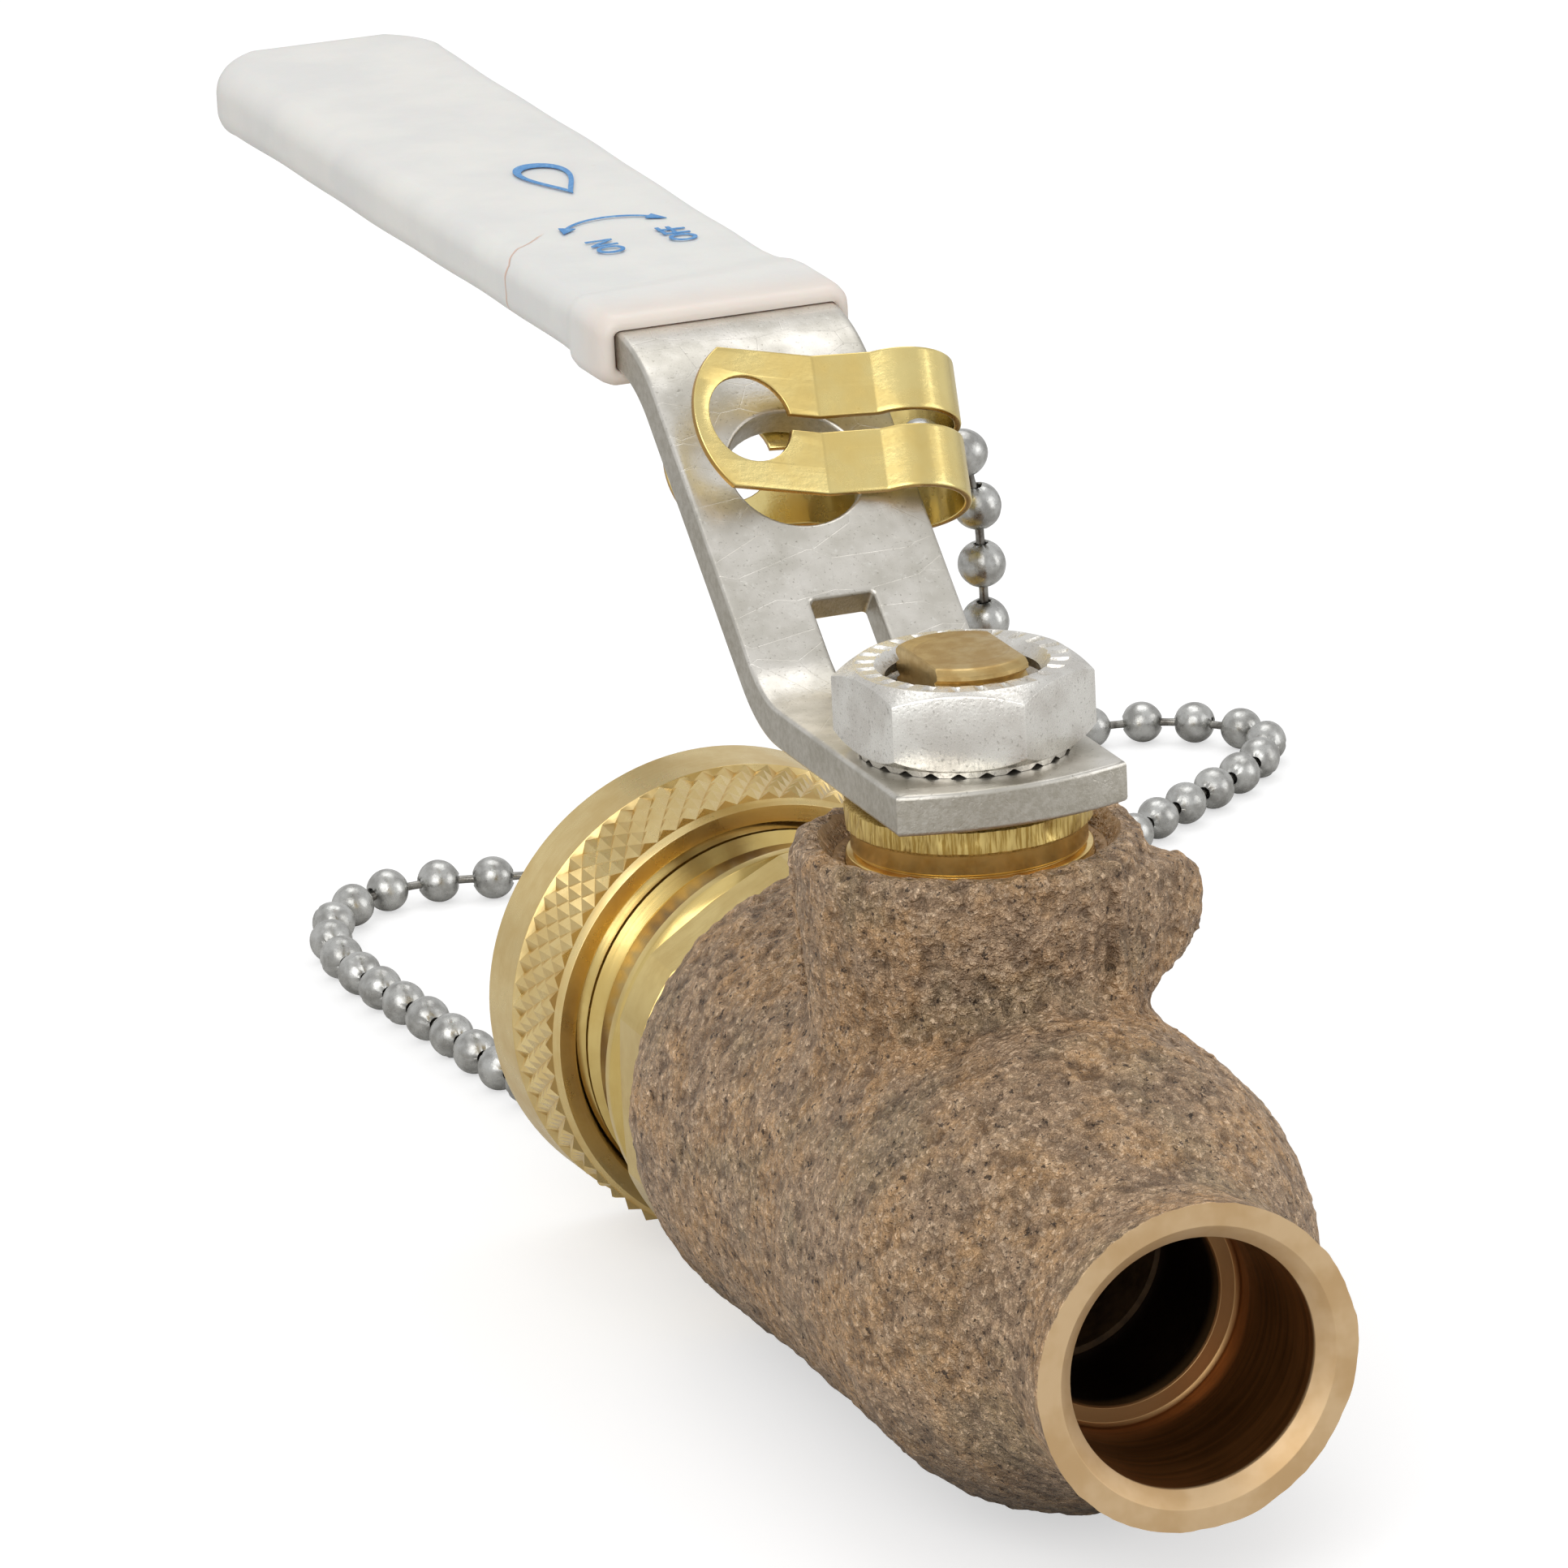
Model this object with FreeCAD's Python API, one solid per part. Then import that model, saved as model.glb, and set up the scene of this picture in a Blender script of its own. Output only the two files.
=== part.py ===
import FreeCAD, Part
import math
import os

# Quarter-turn ball drain valve with a solder inlet, a garden-hose outlet, a knurled
# outlet cap and a bead chain that ties the cap to the lever.
# Water enters at -Y and leaves at +Y. The stem rises along +Z. The lever points to +Y,
# which is the open position. All lengths are in millimetres.
# Every place below is measured from the ball's centre. When the solids are written,
# they move along Y so that the origin is the middle of the solder cup's bore.

V = FreeCAD.Vector
X_AXIS = V(1, 0, 0)
Y_AXIS = V(0, 1, 0)
Z_AXIS = V(0, 0, 1)
ORIGIN = V(0, 0, 0)

# --- running gaps ---------------------------------------------------------------
RUN_GAP = 0.04          # radial gap of a turning fit
SEAT_GAP = 0.02         # gap between parts that sit against each other

# --- flow line ------------------------------------------------------------------
CUP_FACE_Y = -34.4      # open end of the solder cup
CUP_R = 7.975           # bore for 15.875 mm (5/8 in outside diameter) copper tube
CUP_DEPTH = 12.5
CUP_RIM_R = 10.41
CUP_CHAMFER = 0.85
WATERWAY_R = 6.9
BARREL_END_Y = 24.0     # open end of the casting, where the hose retainer screws in
BALL_R = 9.6
PORT_R = 6.4
SEAT_R = 11.3           # outside of the seats
SEAT_LENGTH = 6.0
CHAMBER_R = 11.4
CHAMBER_Y0 = -12.2
CHAMBER_Y1 = 12.3
THREAD_BORE_R = 12.9    # bore that takes the retainer's plug

# --- casting --------------------------------------------------------------------
BARREL_R = 15.35
BARREL_BULGE_R = 15.95
NECK_R = 10.0
BOSS_R = 11.0
BOSS_ROOT_R = 10.2
BOSS_TOP_Z = 23.9
BOSS_TAPER_Z = 20.5
LUG_REACH = 14.85       # how far the stop lugs stand out from the stem axis
LUG_TOP_Z = 22.2
LUG_LOW_Z = 10.5
LUG_WIDTH = 4.6

# --- stem -----------------------------------------------------------------------
STEM_R = 4.66
STEM_TOP_Z = 35.8
STEM_FLAT_HALF = 3.05   # half the distance across the stem's two flats
COLLAR_R = 5.6
COLLAR_Z0 = 9.9
COLLAR_Z1 = 11.9
TANG_HALF_WIDTH = 1.95
TANG_HALF_LENGTH = 4.2
TANG_LOW_Z = 7.3
SLOT_HALF_WIDTH = 2.0
SLOT_LOW_Z = 7.2
BEARING_TOP_Z = 12.95
SHOULDER_Z = 13.0       # the boss shoulder that holds the stem down
PACKING_Z0 = 16.0
PACKING_Z1 = 19.4
PACKING_R = 6.9
GLAND_R = 7.8
GLAND_TOP_Z = 26.4

# --- lever ----------------------------------------------------------------------
LEVER_WIDTH = 15.3
LEVER_T = 2.65
LEVER_TOP_Z = 29.5      # upper face of the flat round the stem
LEVER_BEND_Y = 16.3     # first bend, on the middle line
LEVER_SLOPE = 41.8      # degrees
LEVER_RISE = 18.5       # middle line of the hand end above that of the flat
LEVER_TIP_Y = 122.4
LEVER_FRONT_Y = -7.6
LEVER_NOSE_Y = -9.1
BEND_R1 = 8.0
BEND_R2 = 10.0
STOP_TAB_WIDTH = 4.2
STOP_TAB_LENGTH = 6.2
HOLE_R = 4.42
HOLE_ALONG = 16.75      # centre of the round hole, up the slope from the first bend
GRIP_MOUTH_Y = 40.0
BEND_ROOM_END_Y = 41.2  # the pocket is a little deeper from the mouth to here
BEND_ROOM_DROP = 0.12
GRIP_TIP_Y = 126.8
GRIP_WALL = 1.05
GRIP_END_R = 5.2

# --- nut ------------------------------------------------------------------------
NUT_ACROSS_FLATS = 14.2
NUT_CORNER_LOW_Z = 30.9 # lower end of the nut's corner edges
NUT_TOP_Z = 35.1
NUT_CHAMFER = 0.62
NUT_BORE_R = 4.78
NUT_TURN = -24.0        # degrees, the first corner measured from +X
NUT_SEAT_R = 6.8        # raised, serrated ring on the nut's underside

# --- hose end -------------------------------------------------------------------
HEX_ACROSS_FLATS = 27.8
HEX_TURNED_R = 14.9
HEX_END_Y = 29.5
COLLAR_END_Y = 33.0
HOSE_COLLAR_R = 14.3
RELIEF_R = 12.7
HOSE_THREAD_R = 13.0    # pitch radius of the 3/4 in hose thread, 11.5 turns to the inch
HOSE_THREAD_Y0 = 35.0
HOSE_END_Y = 45.9
HOSE_BORE_R = 9.4
CAP_RIM_Y = 38.0
CAP_END_Y = 50.0
CAP_RIM_R = 15.3
CAP_END_R = 16.0
CAP_KNURL_Y = 44.5
CAP_BORE_R = 13.05
CAP_MOUTH_R = 13.75
CAP_WALL_Y = 48.0       # inner face of the closed end
CAP_WASHER_T = 1.9
RIVET_R = 1.6

# --- clip and chain -------------------------------------------------------------
STRIP_T = 0.5
STRIP_WIDTH = 9.8
BOW_R = 3.75            # middle line of the bow round the lever's edge
BOW_CENTRE = V(8.3, 30.6, 40.85)
CLIP_TILT = 52.0        # degrees, the strip's width direction above the horizontal
CLIP_ROLL = 8.0         # degrees, the eye end is raised
LEAF_CREASE = 6.2       # crease, from the bow's centre towards the eyes
LEAF_EYE = 11.2         # centre of the eyes
LEAF_END = 15.2
CREASE_HALF_GAP = 2.65
EYE_R = 3.0
SLIT_WIDTH = 1.0
BEAD_R = 1.6
BEAD_WALL = 0.35
BEAD_HOLE_R = 0.42
BEAD_PITCH = 4.06
LINK_R = 0.32
LINK_HEAD_R = 0.5
LINK_HEAD_AT = 0.6      # a link's head, measured from the bead's centre
CHAIN_REST_Z = -14.45   # bead centres where the chain lies on the ground
CHAIN_SPLIT_Z = -9.0    # beads above this hang from the clip
CAP_SIDE_BEADS = 3      # beads that travel with the cap

# The chain's run: it hangs from the clip, lies in a loop on the right, passes behind
# the valve, lies in a second loop on the left and rises to the middle of the cap.
CHAIN_RUN = [
    V(9.85, 31.25, 40.2), V(13.3, 32.7, 38.75), V(14.5, 33.4, 34.6), V(15.0, 34.2, 27.0),
    V(18.4, 37.0, 9.0), V(20.6, 40.0, -7.0), V(22.0, 44.5, -14.1), V(24.5, 52.0, CHAIN_REST_Z),
    V(39.0, 80.0, CHAIN_REST_Z), V(53.8, 104.9, CHAIN_REST_Z), V(65.7, 114.0, CHAIN_REST_Z),
    V(72.4, 124.0, CHAIN_REST_Z), V(66.3, 130.9, CHAIN_REST_Z), V(48.0, 126.0, CHAIN_REST_Z),
    V(28.0, 116.5, CHAIN_REST_Z), V(8.5, 118.3, CHAIN_REST_Z), V(0.6, 119.9, CHAIN_REST_Z),
    V(-6.4, 114.6, CHAIN_REST_Z), V(-8.7, 102.0, CHAIN_REST_Z), V(-7.2, 85.0, CHAIN_REST_Z),
    V(-6.0, 74.0, CHAIN_REST_Z), V(-3.6, 65.0, -11.0), V(-1.2, 58.6, -4.4), V(0, 54.2, 0),
]


# --- helpers --------------------------------------------------------------------
def along_y(radius, y0, y1):
    return Part.makeCylinder(radius, y1 - y0, V(0, y0, 0), Y_AXIS)


def along_z(radius, z0, z1):
    return Part.makeCylinder(radius, z1 - z0, V(0, 0, z0), Z_AXIS)


def turned_y(outline):
    """Solid of revolution about the flow line from (y, radius) corners."""
    corners = [V(r, y, 0) for y, r in outline]
    face = Part.Face(Part.makePolygon(corners + [corners[0]]))
    return face.revolve(ORIGIN, Y_AXIS, 360)


def turned_z(outline):
    """Solid of revolution about the stem axis from (z, radius) corners."""
    corners = [V(r, 0, z) for z, r in outline]
    face = Part.Face(Part.makePolygon(corners + [corners[0]]))
    return face.revolve(ORIGIN, Z_AXIS, 360)


def centred_box(half_x, y0, y1, z0, z1):
    return Part.makeBox(2 * half_x, y1 - y0, z1 - z0, V(-half_x, y0, z0))


def hexagon(across_flats, base, direction, length, turn):
    """Hexagonal prism; turn is the angle of its first corner, in degrees."""
    corner_r = across_flats / math.sqrt(3)
    placed = []
    for i in range(7):
        angle = math.radians(turn + 60 * i)
        placed.append(V(corner_r * math.cos(angle), corner_r * math.sin(angle), 0))
    prism = Part.Face(Part.makePolygon(placed)).extrude(V(0, 0, length))
    prism.Placement = FreeCAD.Placement(base, FreeCAD.Rotation(Z_AXIS, direction))
    return prism


# --- casting and flow line ------------------------------------------------------
def barrel():
    """The cast barrel, its domed shoulder and the neck of the solder cup."""
    skin = Part.BSplineCurve()
    skin.interpolate([
        V(15.2, BARREL_END_Y, 0), V(BARREL_BULGE_R, BARREL_END_Y - 2.6, 0),
        V(BARREL_BULGE_R - 0.15, 15.0, 0), V(BARREL_R + 0.1, 4.0, 0), V(BARREL_R, -6.0, 0),
        V(BARREL_R, -14.5, 0), V(14.35, -20.0, 0), V(12.7, -23.8, 0), V(10.95, -26.6, 0),
        V(NECK_R + 0.15, -28.6, 0), V(NECK_R, -31.0, 0), V(CUP_RIM_R - 0.1, CUP_FACE_Y + 1.0, 0)])
    rest = Part.makePolygon([
        V(CUP_RIM_R - 0.1, CUP_FACE_Y + 1.0, 0), V(CUP_RIM_R, CUP_FACE_Y + 0.95, 0),
        V(CUP_RIM_R, CUP_FACE_Y, 0), V(0, CUP_FACE_Y, 0), V(0, BARREL_END_Y, 0),
        V(15.2, BARREL_END_Y, 0)])
    face = Part.Face(Part.Wire([skin.toShape()] + rest.Edges))
    return face.revolve(ORIGIN, Y_AXIS, 360)


def stop_lug():
    """Cast lug that stands out to +X; its +Y face stops the lever's tab."""
    stop_face_y = -STOP_TAB_WIDTH / 2 - 0.1
    start = V(0, stop_face_y, LUG_LOW_Z)
    tip = [V(LUG_REACH, stop_face_y, 18.6), V(LUG_REACH - 0.1, stop_face_y, 16.4)]
    top = V(LUG_REACH - 2.2, stop_face_y, LUG_TOP_Z - 0.3)
    nose = Part.Arc(top, V(LUG_REACH - 0.55, stop_face_y, LUG_TOP_Z - 1.6), tip[0]).toShape()
    edges = [
        Part.makeLine(start, V(0, stop_face_y, LUG_TOP_Z)),
        Part.makeLine(V(0, stop_face_y, LUG_TOP_Z), top),
        nose,
        Part.makeLine(tip[0], tip[1]),
        Part.makeLine(tip[1], V(8.4, stop_face_y, LUG_LOW_Z)),
        Part.makeLine(V(8.4, stop_face_y, LUG_LOW_Z), start)]
    return Part.Face(Part.Wire(edges)).extrude(V(0, -LUG_WIDTH, 0))


def body_casting():
    boss = turned_z([
        (0, 0), (BOSS_TOP_Z, 0), (BOSS_TOP_Z, BOSS_R - 0.9), (BOSS_TOP_Z - 0.3, BOSS_R - 0.25),
        (BOSS_TOP_Z - 1.0, BOSS_R), (BOSS_TAPER_Z, BOSS_R), (LUG_LOW_Z, BOSS_ROOT_R), (0, BOSS_ROOT_R)])
    closed_lug = stop_lug()
    open_lug = stop_lug().mirror(ORIGIN, X_AXIS)
    open_lug.rotate(ORIGIN, Z_AXIS, -90)
    solid = barrel().fuse([boss, closed_lug, open_lug])
    cup_end = CUP_FACE_Y + CUP_DEPTH
    cuts = [
        along_y(CUP_R, CUP_FACE_Y - 1, cup_end),
        Part.makeCone(CUP_R + CUP_CHAMFER, CUP_R, CUP_CHAMFER, V(0, CUP_FACE_Y, 0), Y_AXIS),
        along_y(WATERWAY_R, cup_end - 1, CHAMBER_Y0 + 1),
        along_y(CHAMBER_R, CHAMBER_Y0, CHAMBER_Y1),
        along_y(THREAD_BORE_R, CHAMBER_Y1, BARREL_END_Y + 1),
        along_z(COLLAR_R + 0.1, 0, SHOULDER_Z),
        along_z(STEM_R + RUN_GAP, 0, PACKING_Z0 + 1),
        along_z(PACKING_R + SEAT_GAP, PACKING_Z0, BOSS_TOP_Z + 1),
        along_z(GLAND_R + SEAT_GAP, PACKING_Z1 + 0.1, BOSS_TOP_Z + 1),
        Part.makeCone(GLAND_R + SEAT_GAP, 9.4, 1.3, V(0, 0, BOSS_TOP_Z - 1.3), Z_AXIS)]
    return solid.cut(cuts).removeSplitter()


def seat(side):
    """Seat ring that cups the ball; side is -1 for the inlet and +1 for the outlet."""
    far_y = side * (CHAMBER_Y1 - 0.15)
    near_y = far_y - side * SEAT_LENGTH
    low, high = min(far_y, near_y), max(far_y, near_y)
    ring = along_y(SEAT_R, low, high).cut(along_y(PORT_R + 0.2, low - 1, high + 1))
    return ring.cut(Part.makeSphere(BALL_R + SEAT_GAP))


def ball():
    solid = Part.makeSphere(BALL_R)
    port = along_y(PORT_R, -BALL_R - 1, BALL_R + 1)
    slot = centred_box(BALL_R, -SLOT_HALF_WIDTH, SLOT_HALF_WIDTH, SLOT_LOW_Z, BALL_R + 1)
    return solid.cut([port, slot])


def hose_retainer():
    """Hexagonal adapter: a plug screwed into the casting and a male hose thread."""
    plug = turned_y([
        (CHAMBER_Y1 + 1.3, 0), (CHAMBER_Y1 + 1.3, THREAD_BORE_R - 0.7),
        (CHAMBER_Y1 + 2.0, THREAD_BORE_R - SEAT_GAP), (BARREL_END_Y + 0.05, THREAD_BORE_R - SEAT_GAP),
        (BARREL_END_Y + 0.05, 0)])
    hexagon_part = hexagon(HEX_ACROSS_FLATS, V(0, BARREL_END_Y + 0.05, 0), Y_AXIS,
                           HEX_END_Y - BARREL_END_Y, 0)
    turned = turned_y([
        (BARREL_END_Y, 0), (BARREL_END_Y, HEX_TURNED_R - 0.4), (BARREL_END_Y + 0.6, HEX_TURNED_R),
        (HEX_END_Y - 0.9, HEX_TURNED_R), (HEX_END_Y, HOSE_COLLAR_R), (COLLAR_END_Y, HOSE_COLLAR_R),
        (COLLAR_END_Y, 0)])
    flange = hexagon_part.common(turned).fuse(turned_y([
        (HEX_END_Y, 0), (HEX_END_Y, HOSE_COLLAR_R - 0.1), (HEX_END_Y + 0.5, HOSE_COLLAR_R),
        (COLLAR_END_Y - 0.4, HOSE_COLLAR_R), (COLLAR_END_Y, HOSE_COLLAR_R - 0.4), (COLLAR_END_Y, 0)]))
    nose = turned_y([
        (COLLAR_END_Y - 0.5, 0), (COLLAR_END_Y - 0.5, RELIEF_R), (HOSE_THREAD_Y0, RELIEF_R),
        (HOSE_THREAD_Y0 + 0.3, HOSE_THREAD_R), (HOSE_END_Y - 0.6, HOSE_THREAD_R),
        (HOSE_END_Y, HOSE_THREAD_R - 0.6), (HOSE_END_Y, 0)])
    solid = plug.fuse([flange, nose])
    return solid.cut([
        along_y(WATERWAY_R, CHAMBER_Y1, HEX_END_Y),
        along_y(HOSE_BORE_R, HEX_END_Y - 1.5, HOSE_END_Y + 1)]).removeSplitter()


def retainer_seal():
    """Flat ring squeezed between the casting's step and the retainer's plug."""
    y0 = CHAMBER_Y1 + SEAT_GAP
    y1 = CHAMBER_Y1 + 1.3 - SEAT_GAP
    return along_y(THREAD_BORE_R - 0.05, y0, y1).cut(along_y(CHAMBER_R - 0.9, y0 - 1, y1 + 1))


# --- stem stack -----------------------------------------------------------------
def stem():
    shaft = turned_z([
        (COLLAR_Z0, 0), (COLLAR_Z0, COLLAR_R), (COLLAR_Z1, COLLAR_R), (COLLAR_Z1, STEM_R),
        (STEM_TOP_Z - 0.35, STEM_R), (STEM_TOP_Z, STEM_R - 0.35), (STEM_TOP_Z, 0)])
    tang = centred_box(TANG_HALF_LENGTH, -TANG_HALF_WIDTH, TANG_HALF_WIDTH, TANG_LOW_Z, COLLAR_Z0 + 0.5)
    flats_z = LEVER_TOP_Z - LEVER_T - SEAT_GAP
    flat_tool = Part.makeBox(4, 12, 12, V(STEM_FLAT_HALF, -6, flats_z))
    return shaft.fuse(tang).cut([flat_tool, flat_tool.mirror(ORIGIN, X_AXIS)])


def stem_bearing():
    z0 = COLLAR_Z1 + SEAT_GAP
    return along_z(COLLAR_R, z0, BEARING_TOP_Z).cut(along_z(STEM_R + RUN_GAP, z0 - 1, BEARING_TOP_Z + 1))


def stem_packing():
    """Three stacked packing rings, kept as one group."""
    rings = []
    step = (PACKING_Z1 - PACKING_Z0) / 3
    for i in range(3):
        z0 = PACKING_Z0 + i * step + SEAT_GAP
        z1 = z0 + step - 2 * SEAT_GAP
        rings.append(along_z(PACKING_R, z0, z1).cut(along_z(STEM_R + RUN_GAP, z0 - 1, z1 + 1)))
    return Part.makeCompound(rings)


def gland_screw():
    """Packing gland: threaded skirt, smooth neck and serrated head."""
    body = turned_z([
        (PACKING_Z1 + 0.15, 0), (PACKING_Z1 + 0.15, GLAND_R), (BOSS_TOP_Z - 1.0, GLAND_R),
        (BOSS_TOP_Z - 0.6, GLAND_R - 0.4), (24.8, GLAND_R - 0.4), (24.8, GLAND_R),
        (GLAND_TOP_Z, GLAND_R), (GLAND_TOP_Z, 0)])
    return body.cut(along_z(STEM_R + 0.08, PACKING_Z1, GLAND_TOP_Z + 1))


# --- lever ----------------------------------------------------------------------
def lever_side():
    """Side view of the bent strip, with both bends rounded, as a closed face at x = 0."""
    slope = math.radians(LEVER_SLOPE)
    half = LEVER_T / 2
    low_mid = LEVER_TOP_Z - half
    run = LEVER_RISE / math.tan(slope)
    miter = half * math.tan(slope / 2)

    def outline(side):
        first = V(0, LEVER_BEND_Y - side * miter, low_mid + side * half)
        second = V(0, LEVER_BEND_Y + run - side * miter, low_mid + LEVER_RISE + side * half)
        points = [V(0, LEVER_NOSE_Y - 1, first.z), first, second, V(0, LEVER_TIP_Y, second.z)]
        radii = [BEND_R1 - side * half, BEND_R2 + side * half]
        return rounded_path(points, radii)

    upper, upper_start, upper_end = outline(1)
    lower, lower_start, lower_end = outline(-1)
    ends = [Part.makeLine(upper_end, lower_end), Part.makeLine(upper_start, lower_start)]
    return Part.Face(Part.Wire(Part.__sortEdges__(upper + lower + ends)))


def rounded_path(points, radii):
    """Polyline with an arc at each inner corner; returns its edges and its two ends."""
    edges = []
    start = points[0]
    for i, radius in enumerate(radii):
        corner = points[i + 1]
        back = (points[i] - corner).normalize()
        ahead = (points[i + 2] - corner).normalize()
        half_angle = back.getAngle(ahead) / 2
        setback = radius / math.tan(half_angle)
        arc_start = corner + back * setback
        arc_end = corner + ahead * setback
        bisector = (back + ahead).normalize()
        arc_mid = corner + bisector * (radius / math.sin(half_angle) - radius)
        edges.append(Part.makeLine(start, arc_start))
        edges.append(Part.Arc(arc_start, arc_mid, arc_end).toShape())
        start = arc_end
    edges.append(Part.makeLine(start, points[-1]))
    return edges, points[0], points[-1]


def slope_point(distance, offset=0.0):
    """A point on the lever's sloping upper face, up the slope from the first bend."""
    slope = math.radians(LEVER_SLOPE)
    miter = LEVER_T / 2 * math.tan(slope / 2)
    y = LEVER_BEND_Y - miter + distance * math.cos(slope) - offset * math.sin(slope)
    z = LEVER_TOP_Z + distance * math.sin(slope) + offset * math.cos(slope)
    return V(0, y, z)


def lever():
    half = LEVER_WIDTH / 2
    strip = lever_side().extrude(V(LEVER_WIDTH, 0, 0))
    strip.translate(V(-half, 0, 0))
    nose = Part.Arc(V(-half, LEVER_FRONT_Y, 0), V(0, LEVER_NOSE_Y, 0), V(half, LEVER_FRONT_Y, 0))
    plan_sides = Part.makePolygon([
        V(half, LEVER_FRONT_Y, 0), V(half, LEVER_TIP_Y + 1, 0), V(-half, LEVER_TIP_Y + 1, 0),
        V(-half, LEVER_FRONT_Y, 0)])
    plan = Part.Face(Part.Wire([nose.toShape()] + plan_sides.Edges)).extrude(V(0, 0, 100))
    strip = strip.common(plan)

    slope_normal = (slope_point(0, 1) - slope_point(0)).normalize()
    round_hole = Part.makeCylinder(HOLE_R, 8, slope_point(HOLE_ALONG, 3), slope_normal * -1)
    window = Part.makeBox(STOP_TAB_WIDTH + 0.2, STOP_TAB_LENGTH, 10, V(-STOP_TAB_WIDTH / 2 - 0.1, 0, -5))
    window.Placement = FreeCAD.Placement(slope_point(0.5), FreeCAD.Rotation(X_AXIS, LEVER_SLOPE))
    stem_hole = along_z(STEM_R + 0.06, 20, 34).common(
        centred_box(STEM_FLAT_HALF + 0.06, -10, 10, 20, 34))
    strip = strip.cut([round_hole, window, stem_hole])

    tab_y = LEVER_BEND_Y - LEVER_T - 0.6
    tab_top = LEVER_TOP_Z - LEVER_T
    tab = centred_box(STOP_TAB_WIDTH / 2, tab_y, tab_y + LEVER_T, tab_top - STOP_TAB_LENGTH, tab_top + 0.3)
    return strip.fuse(tab).removeSplitter()


def lever_grip():
    """Dipped vinyl sleeve, a little thicker towards the tip, rounded at the end."""
    half = LEVER_WIDTH / 2
    hand_top = LEVER_TOP_Z + LEVER_RISE
    hand_low = hand_top - LEVER_T
    tip_wall = GRIP_WALL + 0.45
    side_view = Part.Face(Part.makePolygon([
        V(0, GRIP_MOUTH_Y, hand_low - 0.9), V(0, GRIP_MOUTH_Y, hand_top + 0.8),
        V(0, GRIP_TIP_Y, hand_top + tip_wall), V(0, GRIP_TIP_Y, hand_low - tip_wall),
        V(0, GRIP_MOUTH_Y, hand_low - 0.9)]))
    sleeve = side_view.extrude(V(2 * (half + tip_wall), 0, 0))
    sleeve.translate(V(-half - tip_wall, 0, 0))
    mouth_half = half + 0.85
    tip_half = half + 1.4
    plan = Part.Face(Part.makePolygon([
        V(-mouth_half, GRIP_MOUTH_Y, 0), V(mouth_half, GRIP_MOUTH_Y, 0), V(tip_half, GRIP_TIP_Y, 0),
        V(-tip_half, GRIP_TIP_Y, 0), V(-mouth_half, GRIP_MOUTH_Y, 0)])).extrude(V(0, 0, 100))
    sleeve = sleeve.common(plan)
    corners = [e for e in sleeve.Edges if is_upright(e) and e.BoundBox.YMin > GRIP_TIP_Y - 1]
    sleeve = sleeve.makeFillet(GRIP_END_R, corners)
    sleeve = sleeve.makeFillet(0.8, [e for e in sleeve.Edges if e.BoundBox.YMin > GRIP_MOUTH_Y - 1
                                     and e.BoundBox.YMax > GRIP_MOUTH_Y + 1
                                     and not is_upright(e)])
    pocket = Part.makeBox(
        LEVER_WIDTH + 2 * SEAT_GAP, 100, LEVER_T + 2 * SEAT_GAP,
        V(-half - SEAT_GAP, LEVER_TIP_Y + SEAT_GAP - 100, hand_low - SEAT_GAP))
    # The lever's second bend ends just inside the mouth, so the pocket is deeper there.
    bend_room = Part.makeBox(
        LEVER_WIDTH + 2 * SEAT_GAP, BEND_ROOM_END_Y - GRIP_MOUTH_Y, hand_low,
        V(-half - SEAT_GAP, GRIP_MOUTH_Y, hand_low - BEND_ROOM_DROP))
    bend_room = bend_room.common(pocket.translated(V(0, 0, -BEND_ROOM_DROP)))
    return sleeve.cut([pocket, bend_room])


def is_upright(edge):
    box = edge.BoundBox
    return box.XLength < 0.01 and box.ZLength > 2


def lever_nut():
    low = LEVER_TOP_Z + SEAT_GAP
    prism = hexagon(NUT_ACROSS_FLATS, V(0, 0, low), Z_AXIS, NUT_TOP_Z - low, NUT_TURN)
    corner_r = NUT_ACROSS_FLATS / math.sqrt(3) + 0.05
    flat_r = NUT_ACROSS_FLATS / 2
    chamfers = turned_z([
        (low, 0), (low, NUT_SEAT_R), (low + 0.5, NUT_SEAT_R + 0.1), (low + 0.65, flat_r - 0.1),
        (NUT_CORNER_LOW_Z, corner_r), (NUT_TOP_Z - NUT_CHAMFER, corner_r), (NUT_TOP_Z, flat_r - 0.1),
        (NUT_TOP_Z, 0)])
    countersink = Part.makeCone(NUT_BORE_R, NUT_BORE_R + 0.6, 0.6, V(0, 0, NUT_TOP_Z - 0.6), Z_AXIS)
    return prism.common(chamfers).cut([along_z(NUT_BORE_R, low - 1, NUT_TOP_Z + 1), countersink])


# --- outlet cap -----------------------------------------------------------------
def hose_cap():
    skin = turned_y([
        (CAP_RIM_Y, 0), (CAP_RIM_Y, CAP_RIM_R - 0.15), (CAP_RIM_Y + 0.3, CAP_RIM_R + 0.15),
        (CAP_KNURL_Y, CAP_RIM_R + 0.45), (CAP_KNURL_Y + 0.2, CAP_END_R - 0.15),
        (CAP_END_Y - 0.5, CAP_END_R), (CAP_END_Y, CAP_END_R - 0.5), (CAP_END_Y, 0)])
    return skin.cut([
        along_y(CAP_BORE_R, CAP_RIM_Y - 1, CAP_WALL_Y),
        Part.makeCone(CAP_MOUTH_R, CAP_BORE_R, 1.0, V(0, CAP_RIM_Y, 0), Y_AXIS),
        along_y(RIVET_R + RUN_GAP, CAP_WALL_Y - 1, CAP_END_Y + 1)])


def cap_washer():
    y1 = CAP_WALL_Y - SEAT_GAP
    y0 = y1 - CAP_WASHER_T
    return along_y(CAP_BORE_R - 0.1, y0, y1).cut(along_y(7.2, y0 - 1, y1 + 1))


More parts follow.
